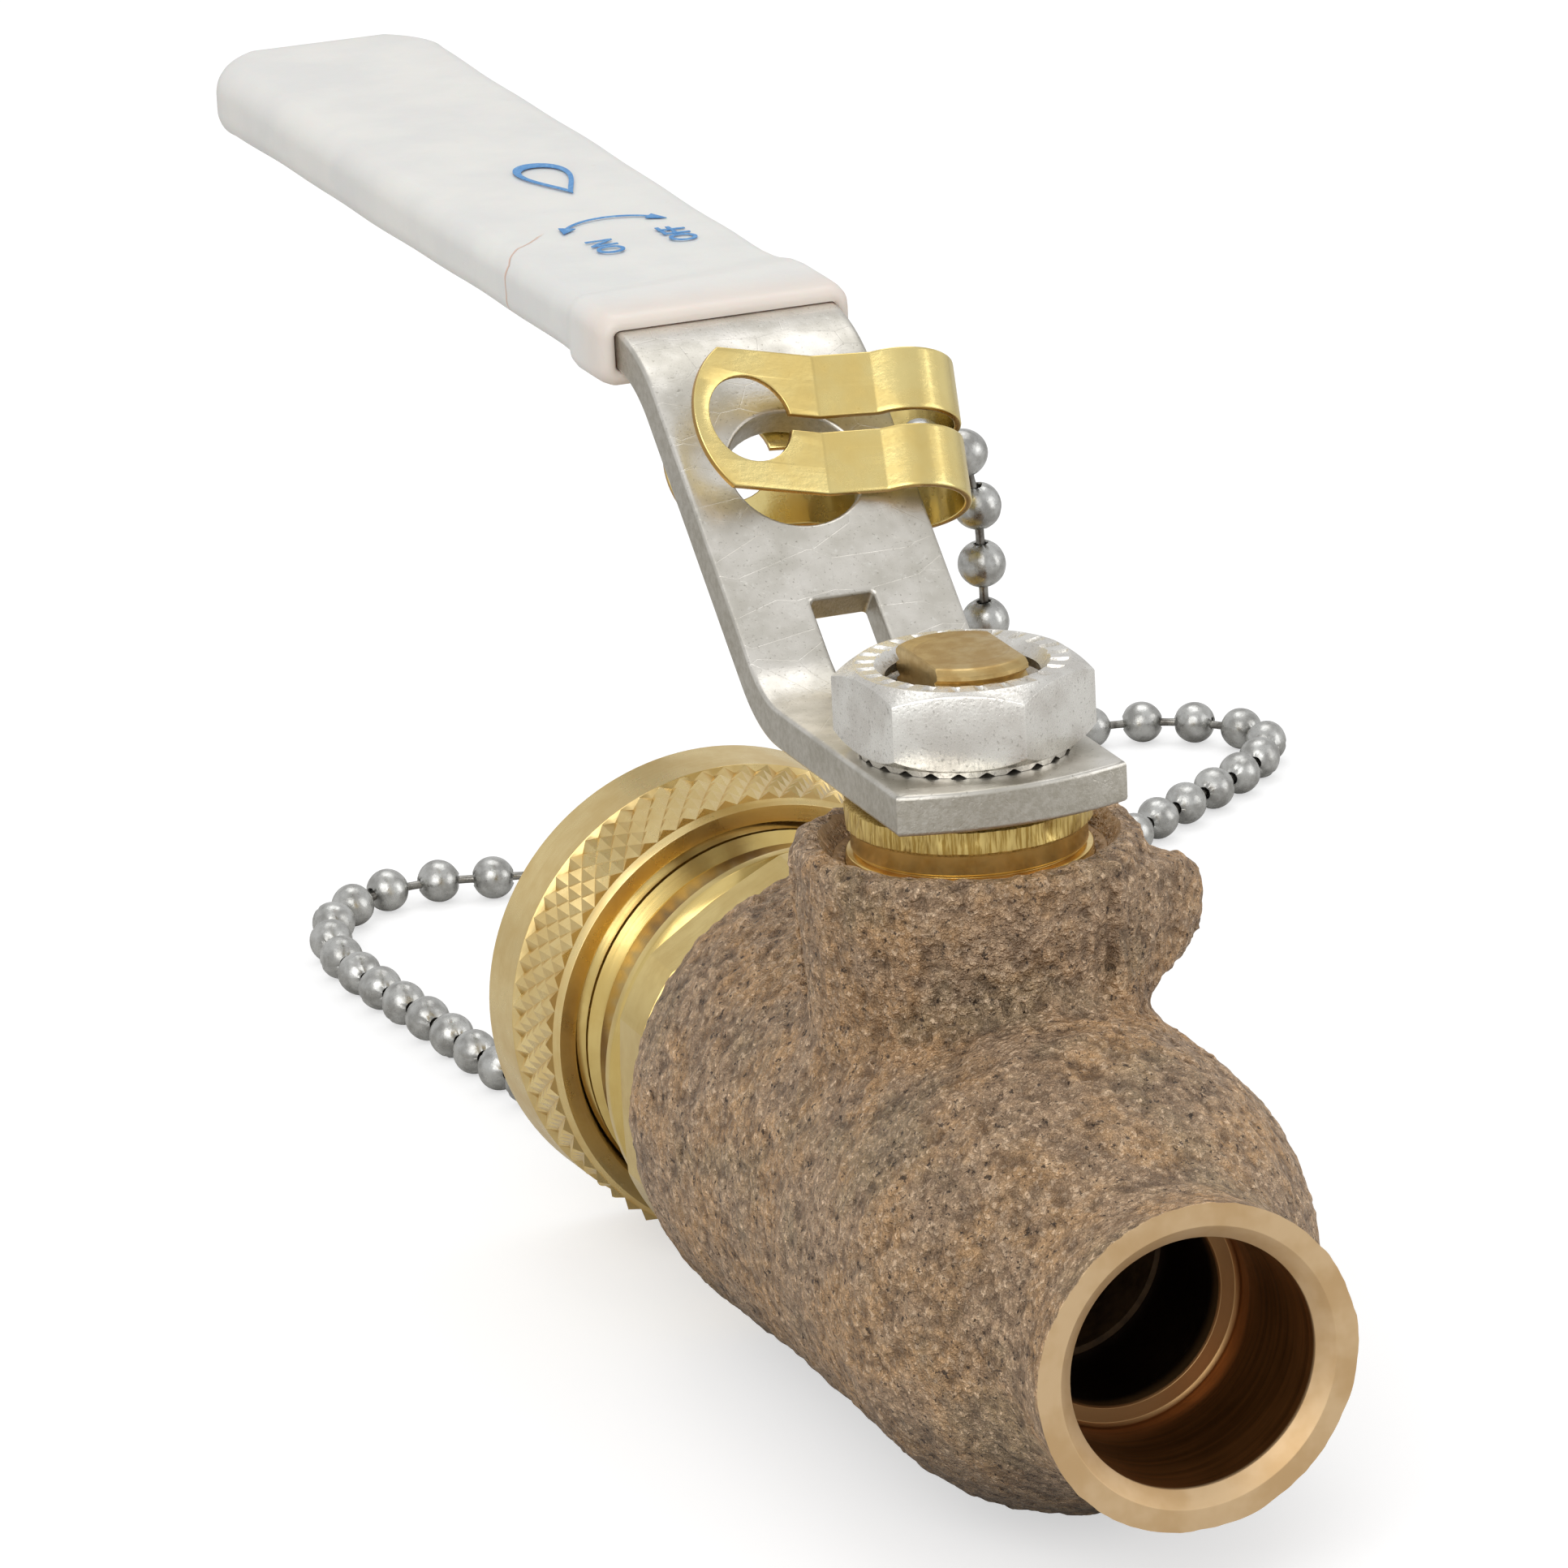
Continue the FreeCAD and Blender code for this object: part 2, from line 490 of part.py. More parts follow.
def chain_rivet():
    """Hollow rivet in the cap's closed end; the cap turns freely round it."""
    gap = 0.05
    solid = turned_y([
        (CAP_WALL_Y - 0.8, 0), (CAP_WALL_Y - 0.8, 2.4), (CAP_WALL_Y - gap, 2.6), (CAP_WALL_Y - gap, RIVET_R),
        (CAP_END_Y + gap, RIVET_R), (CAP_END_Y + gap, 2.9), (CAP_END_Y + 0.6, 2.5), (CAP_END_Y + 1.0, 1.4),
        (CAP_END_Y + 1.0, 0)])
    return solid.cut(along_y(BEAD_HOLE_R, CAP_WALL_Y - 2, CAP_END_Y + 2))


# --- clip -----------------------------------------------------------------------
def clip_frame():
    """Placement whose X runs from the eyes to the bow and whose Y runs across the strip."""
    rotation = FreeCAD.Rotation(X_AXIS, CLIP_TILT).multiply(FreeCAD.Rotation(Z_AXIS, -CLIP_ROLL))
    return FreeCAD.Placement(BOW_CENTRE, rotation)


def chain_clip():
    """Spring strip folded round the lever's edge, with an eye in each leaf and a slit bow."""
    half_t = STRIP_T / 2
    width = STRIP_WIDTH
    meet = math.radians(128)

    def side_wall(radius, gap_shift):
        bow_top = V(radius * math.cos(meet), 0, radius * math.sin(meet))
        bow_low = V(bow_top.x, 0, -bow_top.z)
        crease = CREASE_HALF_GAP + gap_shift
        eye_end = CREASE_HALF_GAP + 1.3 + gap_shift
        upper = Part.makePolygon([V(-LEAF_END, 0, eye_end), V(-LEAF_CREASE, 0, crease), bow_top])
        bow = Part.Arc(bow_top, V(radius, 0, 0), bow_low).toShape()
        lower = Part.makePolygon([bow_low, V(-LEAF_CREASE, 0, -crease), V(-LEAF_END, 0, -eye_end)])
        return upper.Edges + [bow] + lower.Edges, V(-LEAF_END, 0, eye_end)

    outer, outer_end = side_wall(BOW_R + half_t, half_t)
    inner, inner_end = side_wall(BOW_R - half_t, -half_t)
    mirrored_outer = V(outer_end.x, 0, -outer_end.z)
    mirrored_inner = V(inner_end.x, 0, -inner_end.z)
    ends = [Part.makeLine(outer_end, inner_end), Part.makeLine(mirrored_outer, mirrored_inner)]
    section = Part.Face(Part.Wire(Part.__sortEdges__(outer + inner + ends)))
    strip = section.extrude(V(0, width, 0))
    strip.translate(V(0, -width / 2, 0))

    plan_r = LEAF_END - LEAF_EYE + 1.6
    round_end = Part.makeCylinder(plan_r, 20, V(-LEAF_EYE + 1.6, 0, -10), Z_AXIS)
    keep_bow = Part.makeBox(20, 20, 20, V(-LEAF_EYE + 3.0, -10, -10))
    strip = strip.common(round_end.fuse(keep_bow))
    eyes = Part.makeCylinder(EYE_R, 20, V(-LEAF_EYE, 0, -10), Z_AXIS)
    slit = Part.makeBox(20, SLIT_WIDTH, 20, V(-LEAF_EYE, -SLIT_WIDTH / 2, -10))
    strip = strip.cut([eyes, slit.common(Part.makeBox(20, 20, 20, V(-LEAF_EYE, -10, -4.6)))])
    strip = strip.removeSplitter()
    strip.Placement = clip_frame()
    return strip


# --- chain ----------------------------------------------------------------------
def walk(edge, pitch):
    """Points whose straight spacing along the edge is the pitch."""
    points = [edge.valueAt(edge.FirstParameter)]
    steps = 6000
    for i in range(steps + 1):
        share = i / steps
        point = edge.valueAt(edge.FirstParameter + (edge.LastParameter - edge.FirstParameter) * share)
        point.z = max(point.z, CHAIN_REST_Z)
        if (point - points[-1]).Length >= pitch:
            points.append(point)
    return points


def bead_centres():
    """Evenly spaced centres, with the pitch eased so that the last bead is at the run's end."""
    run = Part.BSplineCurve()
    run.interpolate(CHAIN_RUN)
    edge = run.toShape()
    points = walk(edge, BEAD_PITCH)
    pitch = BEAD_PITCH
    for _ in range(6):
        spare = (CHAIN_RUN[-1] - points[-1]).Length
        pitch = min(pitch + spare / len(points), BEAD_PITCH * 1.06)
        points = walk(edge, pitch)
    return points[:-1] + [CHAIN_RUN[-1]]


def bead(centre, neighbours):
    """Hollow bead with one hole towards each neighbour."""
    along = (neighbours[-1] - neighbours[0]) if len(neighbours) > 1 else neighbours[0] - centre
    turn = FreeCAD.Rotation(V(0, 0, 0), along, V(0, 0, 1), "YZX")
    place = FreeCAD.Placement(centre, turn)
    outside = Part.makeSphere(BEAD_R)
    inside = Part.makeSphere(BEAD_R - BEAD_WALL)
    outside.Placement = place
    inside.Placement = place
    holes = [Part.makeCylinder(BEAD_HOLE_R, 2 * BEAD_R, centre, other - centre) for other in neighbours]
    return outside.cut(inside).cut(holes)


def link(start, end):
    """Short wire with a round head on each end, held inside two beads."""
    length = (end - start).Length
    joint = math.sqrt(LINK_HEAD_R ** 2 - LINK_R ** 2)
    back = V(-LINK_HEAD_R * math.sin(math.radians(20)), LINK_HEAD_R * math.cos(math.radians(20)), 0)
    outline = [
        Part.Arc(V(-LINK_HEAD_R, 0, 0), back, V(joint, LINK_R, 0)).toShape(),
        Part.makeLine(V(joint, LINK_R, 0), V(length - joint, LINK_R, 0)),
        Part.Arc(V(length - joint, LINK_R, 0), V(length - back.x, back.y, 0),
                 V(length + LINK_HEAD_R, 0, 0)).toShape(),
        Part.makeLine(V(length + LINK_HEAD_R, 0, 0), V(-LINK_HEAD_R, 0, 0))]
    rod = Part.Face(Part.Wire(outline)).revolve(ORIGIN, X_AXIS, 360)
    rod.Placement = FreeCAD.Placement(start, FreeCAD.Rotation(X_AXIS, end - start))
    return rod


def chain():
    """Beads and links, split into the run on the clip, the run at rest and the run on the cap."""
    centres = bead_centres()
    last = len(centres) - 1
    rivet_inside = V(0, CAP_WALL_Y - 1.4, 0)
    hanging = next(i for i, c in enumerate(centres) if c.z < CHAIN_SPLIT_Z)
    runs = {"handle": ([], []), "floor": ([], []), "cap": ([], [])}
    for i, centre in enumerate(centres):
        run = "handle" if i < hanging else "cap" if i > last - CAP_SIDE_BEADS else "floor"
        neighbours = [centres[j] for j in (i - 1, i + 1) if 0 <= j <= last]
        if i == last:
            neighbours.append(rivet_inside)
        runs[run][0].append(bead(centre, neighbours))
        crosses_runs = i + 1 in (hanging, last - CAP_SIDE_BEADS + 1)
        if i < last and not crosses_runs:
            inward = (centres[i + 1] - centre).normalize() * LINK_HEAD_AT
            runs[run][1].append(link(centre + inward, centres[i + 1] - inward))
    inward = (rivet_inside - centres[last]).normalize() * LINK_HEAD_AT
    runs["cap"][1].append(link(centres[last] + inward, rivet_inside))
    return runs


def main():
    os.makedirs("parts", exist_ok=True)
    nodes = {
        "body_casting": body_casting(),
        "seat_inlet": seat(-1),
        "seat_outlet": seat(1),
        "ball": ball(),
        "hose_retainer": hose_retainer(),
        "retainer_seal": retainer_seal(),
        "stem": stem(),
        "stem_bearing": stem_bearing(),
        "stem_packing": stem_packing(),
        "gland_screw": gland_screw(),
        "lever": lever(),
        "lever_grip": lever_grip(),
        "lever_nut": lever_nut(),
        "hose_cap": hose_cap(),
        "cap_washer": cap_washer(),
        "chain_rivet": chain_rivet(),
        "chain_clip": chain_clip(),
    }
    for run, (beads, links) in chain().items():
        nodes["chain_beads_" + run] = Part.makeCompound(beads)
        nodes["chain_links_" + run] = Part.makeCompound(links)
    cup_middle_y = CUP_FACE_Y + (CUP_DEPTH + CUP_CHAMFER) / 2
    for name, shape in nodes.items():
        shape.translate(V(0, -cup_middle_y, 0))
        shape.exportStep("parts/" + name + ".step")
        print(name, "solids", len(shape.Solids), "valid", shape.isValid())


main()
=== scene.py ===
import math

import bmesh
import bpy
import numpy as np
import openvdb
from mathutils import Matrix, Vector


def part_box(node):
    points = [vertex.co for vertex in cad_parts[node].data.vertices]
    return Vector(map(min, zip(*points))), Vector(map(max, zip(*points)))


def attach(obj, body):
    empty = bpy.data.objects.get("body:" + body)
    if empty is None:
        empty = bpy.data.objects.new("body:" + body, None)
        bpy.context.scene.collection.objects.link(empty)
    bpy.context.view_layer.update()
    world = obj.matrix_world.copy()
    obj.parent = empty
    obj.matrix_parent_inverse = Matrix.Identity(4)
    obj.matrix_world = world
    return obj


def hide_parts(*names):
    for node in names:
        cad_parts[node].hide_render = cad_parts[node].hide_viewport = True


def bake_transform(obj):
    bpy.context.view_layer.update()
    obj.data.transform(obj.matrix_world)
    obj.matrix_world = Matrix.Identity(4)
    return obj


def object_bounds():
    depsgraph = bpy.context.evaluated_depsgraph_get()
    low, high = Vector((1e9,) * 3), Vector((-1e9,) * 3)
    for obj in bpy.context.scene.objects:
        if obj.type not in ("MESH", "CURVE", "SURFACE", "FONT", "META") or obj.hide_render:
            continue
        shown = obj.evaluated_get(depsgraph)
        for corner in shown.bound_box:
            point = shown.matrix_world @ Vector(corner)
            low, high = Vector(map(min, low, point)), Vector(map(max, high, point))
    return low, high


# Visual model of a bronze ball drain valve with a knurled outlet cap on a bead chain.
# Shapes are worked out in millimetres from the ball's centre, then moved to their place in
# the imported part's frame; MM turns them into metres. Flow runs along +Y, the stem stands
# along +Z.

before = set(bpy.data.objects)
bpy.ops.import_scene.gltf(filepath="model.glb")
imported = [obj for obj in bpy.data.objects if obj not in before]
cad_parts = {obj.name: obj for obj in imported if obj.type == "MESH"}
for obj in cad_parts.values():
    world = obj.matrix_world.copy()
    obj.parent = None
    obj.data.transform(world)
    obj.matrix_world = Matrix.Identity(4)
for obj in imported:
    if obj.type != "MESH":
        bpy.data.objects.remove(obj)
cad_bounds = [list(corner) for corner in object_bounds()]
MM = 0.001
TAU = 2 * math.pi


def middle_mm(node):
    """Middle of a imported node's box, in millimetres."""
    low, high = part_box(node)
    return (low + high) / 2 / MM


BALL_CENTRE = middle_mm("ball")


def box_mm(node):
    """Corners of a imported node's box, in millimetres from the ball's centre."""
    low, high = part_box(node)
    return low / MM - BALL_CENTRE, high / MM - BALL_CENTRE


def framed(x, y, z):
    """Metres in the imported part's frame, from millimetres measured from the ball's centre."""
    return (Vector((x, y, z)) + BALL_CENTRE) * MM


# --- driving sizes, read from the frame ------------------------------------------
BODY_LOW, BODY_HIGH = box_mm("body_casting")
CUP_FACE_Y = BODY_LOW.y
BARREL_END_Y = BODY_HIGH.y
BOSS_TOP_Z = BODY_HIGH.z
CAP_LOW, CAP_HIGH = box_mm("hose_cap")
CAP_R = CAP_HIGH.x
RETAINER_HIGH = box_mm("hose_retainer")[1]
NUT_LOW, NUT_HIGH = box_mm("lever_nut")
STEM_LOW, STEM_HIGH = box_mm("stem")
GLAND_LOW, GLAND_HIGH = box_mm("gland_screw")
LEVER_LOW, LEVER_HIGH = box_mm("lever")
GRIP_LOW, GRIP_HIGH = box_mm("lever_grip")
RIVET_LOW, RIVET_HIGH = box_mm("chain_rivet")

# --- casting ----------------------------------------------------------------------
VOXEL = 0.24
CUP_R = 7.975
CUP_DEPTH = 12.5
CUP_CHAMFER = 0.85
WATERWAY_R = 6.9
CHAMBER_R = 11.4
CHAMBER_HALF = 12.25
THREAD_BORE_R = 12.9
BOSS_R = 11.0
LUG_REACH = 14.85
LUG_FACE = -2.2

# --- lever ------------------------------------------------------------------------
LEVER_HALF = LEVER_HIGH.x
LEVER_T = 2.65
FLAT_TOP_Z = NUT_LOW.z - 0.02
BEND_Y = 16.3
SLOPE = math.radians(41.8)
RISE = 18.5
BEND_R1 = 8.0
BEND_R2 = 10.0
HOLE_R = 4.42
HOLE_ALONG = 16.75
STEM_R = 4.66
STEM_FLAT = 3.05

# --- stem stack and adapter -------------------------------------------------------
GLAND_R = 7.8
GLAND_NECK_R = 7.15
NUT_ACROSS_FLATS = 14.2
NUT_TURN = math.radians(-24.0)
NUT_TEETH = 24
HEX_ACROSS_FLATS = 27.8
HEX_CORNER_R = 14.9
HEX_LENGTH = 5.5
COLLAR_R = 14.3
RELIEF_R = 13.3

# --- threads ----------------------------------------------------------------------
HOSE_PITCH = 25.4 / 11.5
THREAD_ROOT_R = 12.35
THREAD_CREST_R = 13.35
CAP_ROOT_R = 13.55
CAP_CREST_R = 12.6

# --- clip and chain ---------------------------------------------------------------
STRIP_T = 0.5
STRIP_HALF = 4.9
BOW_R = 3.75
BOW_CENTRE = Vector((8.3, 30.6, 40.85))
CLIP_TILT = math.radians(52.0)
CLIP_ROLL = math.radians(8.0)
LEAF_CREASE = 6.2
LEAF_EYE = 11.2
LEAF_END = 15.2
CREASE_HALF_GAP = 2.35
EYE_R = 3.0
SLIT_HALF = 0.55
BEAD_R = 1.6
LINK_R = 0.32


# --- mesh helpers -----------------------------------------------------------------
def grid_faces(rows, columns, closed):
    """Quads of a grid whose columns wrap round; with closed its rows wrap too."""
    last = rows if closed else rows - 1
    r, c = np.meshgrid(np.arange(last), np.arange(columns), indexing="ij")
    r, c = r.ravel(), c.ravel()
    up, side = (r + 1) % rows, (c + 1) % columns
    quads = np.stack([r * columns + c, r * columns + side, up * columns + side, up * columns + c], 1)
    return quads.tolist()


def wrapped_shell(rows, closed=True):
    """Shell from rows of points round a ring; open ends are closed with flat faces."""
    rows = np.asarray(rows, float)
    count, columns = rows.shape[:2]
    faces = grid_faces(count, columns, closed)
    if not closed:
        faces.append(list(range(columns))[::-1])
        faces.append([(count - 1) * columns + c for c in range(columns)])
    return rows.reshape(-1, 3), faces


def joined(shells):
    """Several shells as one."""
    points, faces, offset = [], [], 0
    for shell_points, shell_faces in shells:
        points.append(np.asarray(shell_points))
        faces += [[i + offset for i in face] for face in shell_faces]
        offset += len(shell_points)
    return np.concatenate(points), faces


def turned(profile, columns=180, axis="Y", closed=True):
    """Shell of revolution from (along, radius) rows; either may vary round the turn."""
    angle = np.arange(columns) * TAU / columns
    rows = []
    for along, radius in profile:
        along = np.broadcast_to(along, columns)
        radius = np.broadcast_to(radius, columns)
        if axis == "Y":
            rows.append(np.stack([radius * np.sin(angle), along, radius * np.cos(angle)], 1))
        else:
            rows.append(np.stack([radius * np.cos(angle), radius * np.sin(angle), along], 1))
    return wrapped_shell(rows, closed)


def soften(corners, closed=True, steps=3):
    """Outline from (u, v, radius) corners, each rounded with an arc of its radius."""
    outline = []
    count = len(corners)
    for i, (u, v, radius) in enumerate(corners):
        here = Vector((u, v))
        if radius <= 0 or (not closed and i in (0, count - 1)):
            outline.append((u, v))
            continue
        back = (Vector(corners[i - 1][:2]) - here).normalized()
        ahead = (Vector(corners[(i + 1) % count][:2]) - here).normalized()
        half_angle = max(back.angle(ahead) / 2, 1e-3)
        setback = radius / math.tan(half_angle)
        centre = here + (back + ahead).normalized() * (radius / math.sin(half_angle))
        first = here + back * setback - centre
        second = here + ahead * setback - centre
        sweep = first.angle(second)
        for k in range(steps + 1):
            share = k / steps
            a = math.sin((1 - share) * sweep) / math.sin(sweep)
            b = math.sin(share * sweep) / math.sin(sweep)
            point = centre + first * a + second * b
            outline.append((point.x, point.y))
    return outline


def placed(name, data):
    """New object in the scene that holds a mesh, curve, light or camera."""
    holder = bpy.data.objects.new(name, data)
    bpy.context.scene.collection.objects.link(holder)
    return holder


def evaluated(holder):
    """Mesh of an object as it is after its modifiers or its curve settings."""
    bpy.context.view_layer.update()
    return bpy.data.meshes.new_from_object(holder.evaluated_get(bpy.context.evaluated_depsgraph_get()))


def shaded(piece, sharp_angle, weighted=True):
    piece.data.shade_smooth()
    piece.data.set_sharp_from_angle(angle=math.radians(sharp_angle))
    if weighted:
        normals = piece.modifiers.new("normals", "WEIGHTED_NORMAL")
        normals.keep_sharp = True
    return piece


def make_piece(name, shell, sharp_angle=32, weighted=True):
    """Object from a (points, faces) shell in millimetres, shaded smooth with sharp edges."""
    points, faces = shell
    mesh = bpy.data.meshes.new(name)
    mesh.from_pydata((np.asarray(points) * MM).tolist(), [], faces)
    mesh.validate()
    work = bmesh.new()
    work.from_mesh(mesh)
    bmesh.ops.recalc_face_normals(work, faces=work.faces)
    work.to_mesh(mesh)
    work.free()
    return shaded(placed(name, mesh), sharp_angle, weighted)


def dress(piece, material, body=None, stands_for=()):
    """Moves a finished piece into the frame and names its look, its body and its CAD nodes."""
    piece.data.transform(Matrix.Translation(BALL_CENTRE * MM))
    piece.data.materials.clear()
    piece.data.materials.append(material)
    if body:
        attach(piece, body)
    if stands_for:
        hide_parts(*stands_for)
    return piece


def store(mesh, name, values):
    attribute = mesh.attributes.new(name, "FLOAT", "POINT")
    attribute.data.foreach_set("value", np.asarray(values, np.float32))


def mesh_points(mesh):
    flat = np.zeros(len(mesh.vertices) * 3, np.float32)
    mesh.vertices.foreach_get("co", flat)
    return flat.reshape(-1, 3).astype(float) / MM


# --- seeded noise -----------------------------------------------------------------
def lattice_value(cell, seed):
    """Repeatable value in -1..1 for each whole-numbered lattice point."""
    cell = cell.astype(np.int64)
    mixed = cell[..., 0] * 374761393 + cell[..., 1] * 668265263 + cell[..., 2] * 2147483647 + seed * 974711
    mixed = (mixed ^ (mixed >> 13)) * 1274126177
    mixed = mixed ^ (mixed >> 16)
    return (mixed & 0xFFFF) / 32767.5 - 1.0


def noise(points, size, seed):
    """Smooth value noise with cells of the given size."""
    scaled = points / size
    base = np.floor(scaled)
    part = scaled - base
    part = part * part * (3 - 2 * part)
    total = 0.0
    for corner in np.ndindex(2, 2, 2):
        weight = 1.0
        for k in range(3):
            weight = weight * (part[..., k] if corner[k] else 1 - part[..., k])
        total = total + weight * lattice_value(base + np.array(corner), seed)
    return total


# --- node helpers -----------------------------------------------------------------
def linear(red, green, blue):
    """Linear colour from 0-255 display values."""
    parts = []
    for value in (red, green, blue):
        share = value / 255
        parts.append(share / 12.92 if share <= 0.04045 else ((share + 0.055) / 1.055) ** 2.4)
    return (*parts, 1.0)


class Look:
    """One procedural material; its methods add a node and return the node's output."""

    def __init__(self, name):
        self.material = bpy.data.materials.new(name)
        self.material.use_nodes = True
        self.tree = self.material.node_tree
        self.shader = self.tree.nodes["Principled BSDF"]
        self.height = None

    def add(self, kind, inputs=(), **settings):
        node = self.tree.nodes.new(kind)
        for key, value in settings.items():
            setattr(node, key, value)
        for key, value in dict(inputs).items():
            self.feed(node.inputs[key], value)
        return node

    def feed(self, socket, value):
        if isinstance(value, bpy.types.NodeSocket):
            self.tree.links.new(value, socket)
        elif value is not None:
            socket.default_value = value

    def place(self, stretch=(1, 1, 1)):
        """Millimetres from the ball's centre, squeezed by stretch."""
        where = self.add("ShaderNodeTexCoord").outputs["Object"]
        scale = tuple(s / MM for s in stretch)
        shift = tuple(-c * s for c, s in zip(BALL_CENTRE, stretch))
        inputs = {0: where, 1: scale, 2: shift}
        return self.add("ShaderNodeVectorMath", inputs, operation="MULTIPLY_ADD").outputs[0]

    def noise(self, size, detail=3.0, rough=0.55, where=None, stretch=(1, 1, 1)):
        where = where or self.place(stretch)
        inputs = {"Vector": where, "Scale": 1 / size, "Detail": detail, "Roughness": rough}
        return self.add("ShaderNodeTexNoise", inputs).outputs["Fac"]

    def cells(self, size, feature="F1", stretch=(1, 1, 1)):
        inputs = {"Vector": self.place(stretch), "Scale": 1 / size}
        return self.add("ShaderNodeTexVoronoi", inputs, feature=feature).outputs["Distance"]

    def split(self, where=None):
        return self.add("ShaderNodeSeparateXYZ", {0: where or self.place()}).outputs

    def math(self, operation, first, second=None, third=None, clamp=False):
        inputs = {0: first}
        if second is not None:
            inputs[1] = second
        if third is not None:
            inputs[2] = third
        return self.add("ShaderNodeMath", inputs, operation=operation, use_clamp=clamp).outputs[0]

    def spread(self, value, low, high, to_low=0.0, to_high=1.0):
        inputs = {"Value": value, "From Min": low, "From Max": high, "To Min": to_low, "To Max": to_high}
        return self.add("ShaderNodeMapRange", inputs, interpolation_type="SMOOTHSTEP").outputs[0]

    def mix(self, share, first, second, mode="MIX"):
        node = self.add("ShaderNodeMix", data_type="RGBA", blend_type=mode)
        self.feed(node.inputs[0], share)
        self.feed(node.inputs[6], first)
        self.feed(node.inputs[7], second)
        return node.outputs[2]

    def tones(self, value, low, high, first, second, share=1.0):
        """First colour, turning into the second as the value goes from low to high."""
        return self.mix(self.spread(value, low, high, 0.0, share), first, second)

    def attribute(self, name):
        return self.add("ShaderNodeAttribute", attribute_name=name).outputs["Fac"]

    def bump(self, height, depth):
        """Adds relief of the given depth in millimetres on top of what is there."""
        inputs = {"Height": height, "Strength": 1.0, "Distance": depth * MM}
        if self.height is not None:
            inputs["Normal"] = self.height
        self.height = self.add("ShaderNodeBump", inputs).outputs[0]

    def finish(self, colour, roughness, metallic, **more):
        self.feed(self.shader.inputs["Base Color"], colour)
        self.feed(self.shader.inputs["Roughness"], roughness)
        self.feed(self.shader.inputs["Metallic"], metallic)
        for key, value in more.items():
            self.feed(self.shader.inputs[key.replace("_", " ")], value)
        if self.height is not None:
            self.feed(self.shader.inputs["Normal"], self.height)
        return self.material


def radius_from(look, axis):
    """Distance from the flow line ("Y") or from the stem axis ("Z"), in millimetres."""
    x, y, z = look.split()
    other = z if axis == "Y" else y
    squares = look.math("ADD", look.math("MULTIPLY", x, x), look.math("MULTIPLY", other, other))
    return look.math("SQRT", squares)


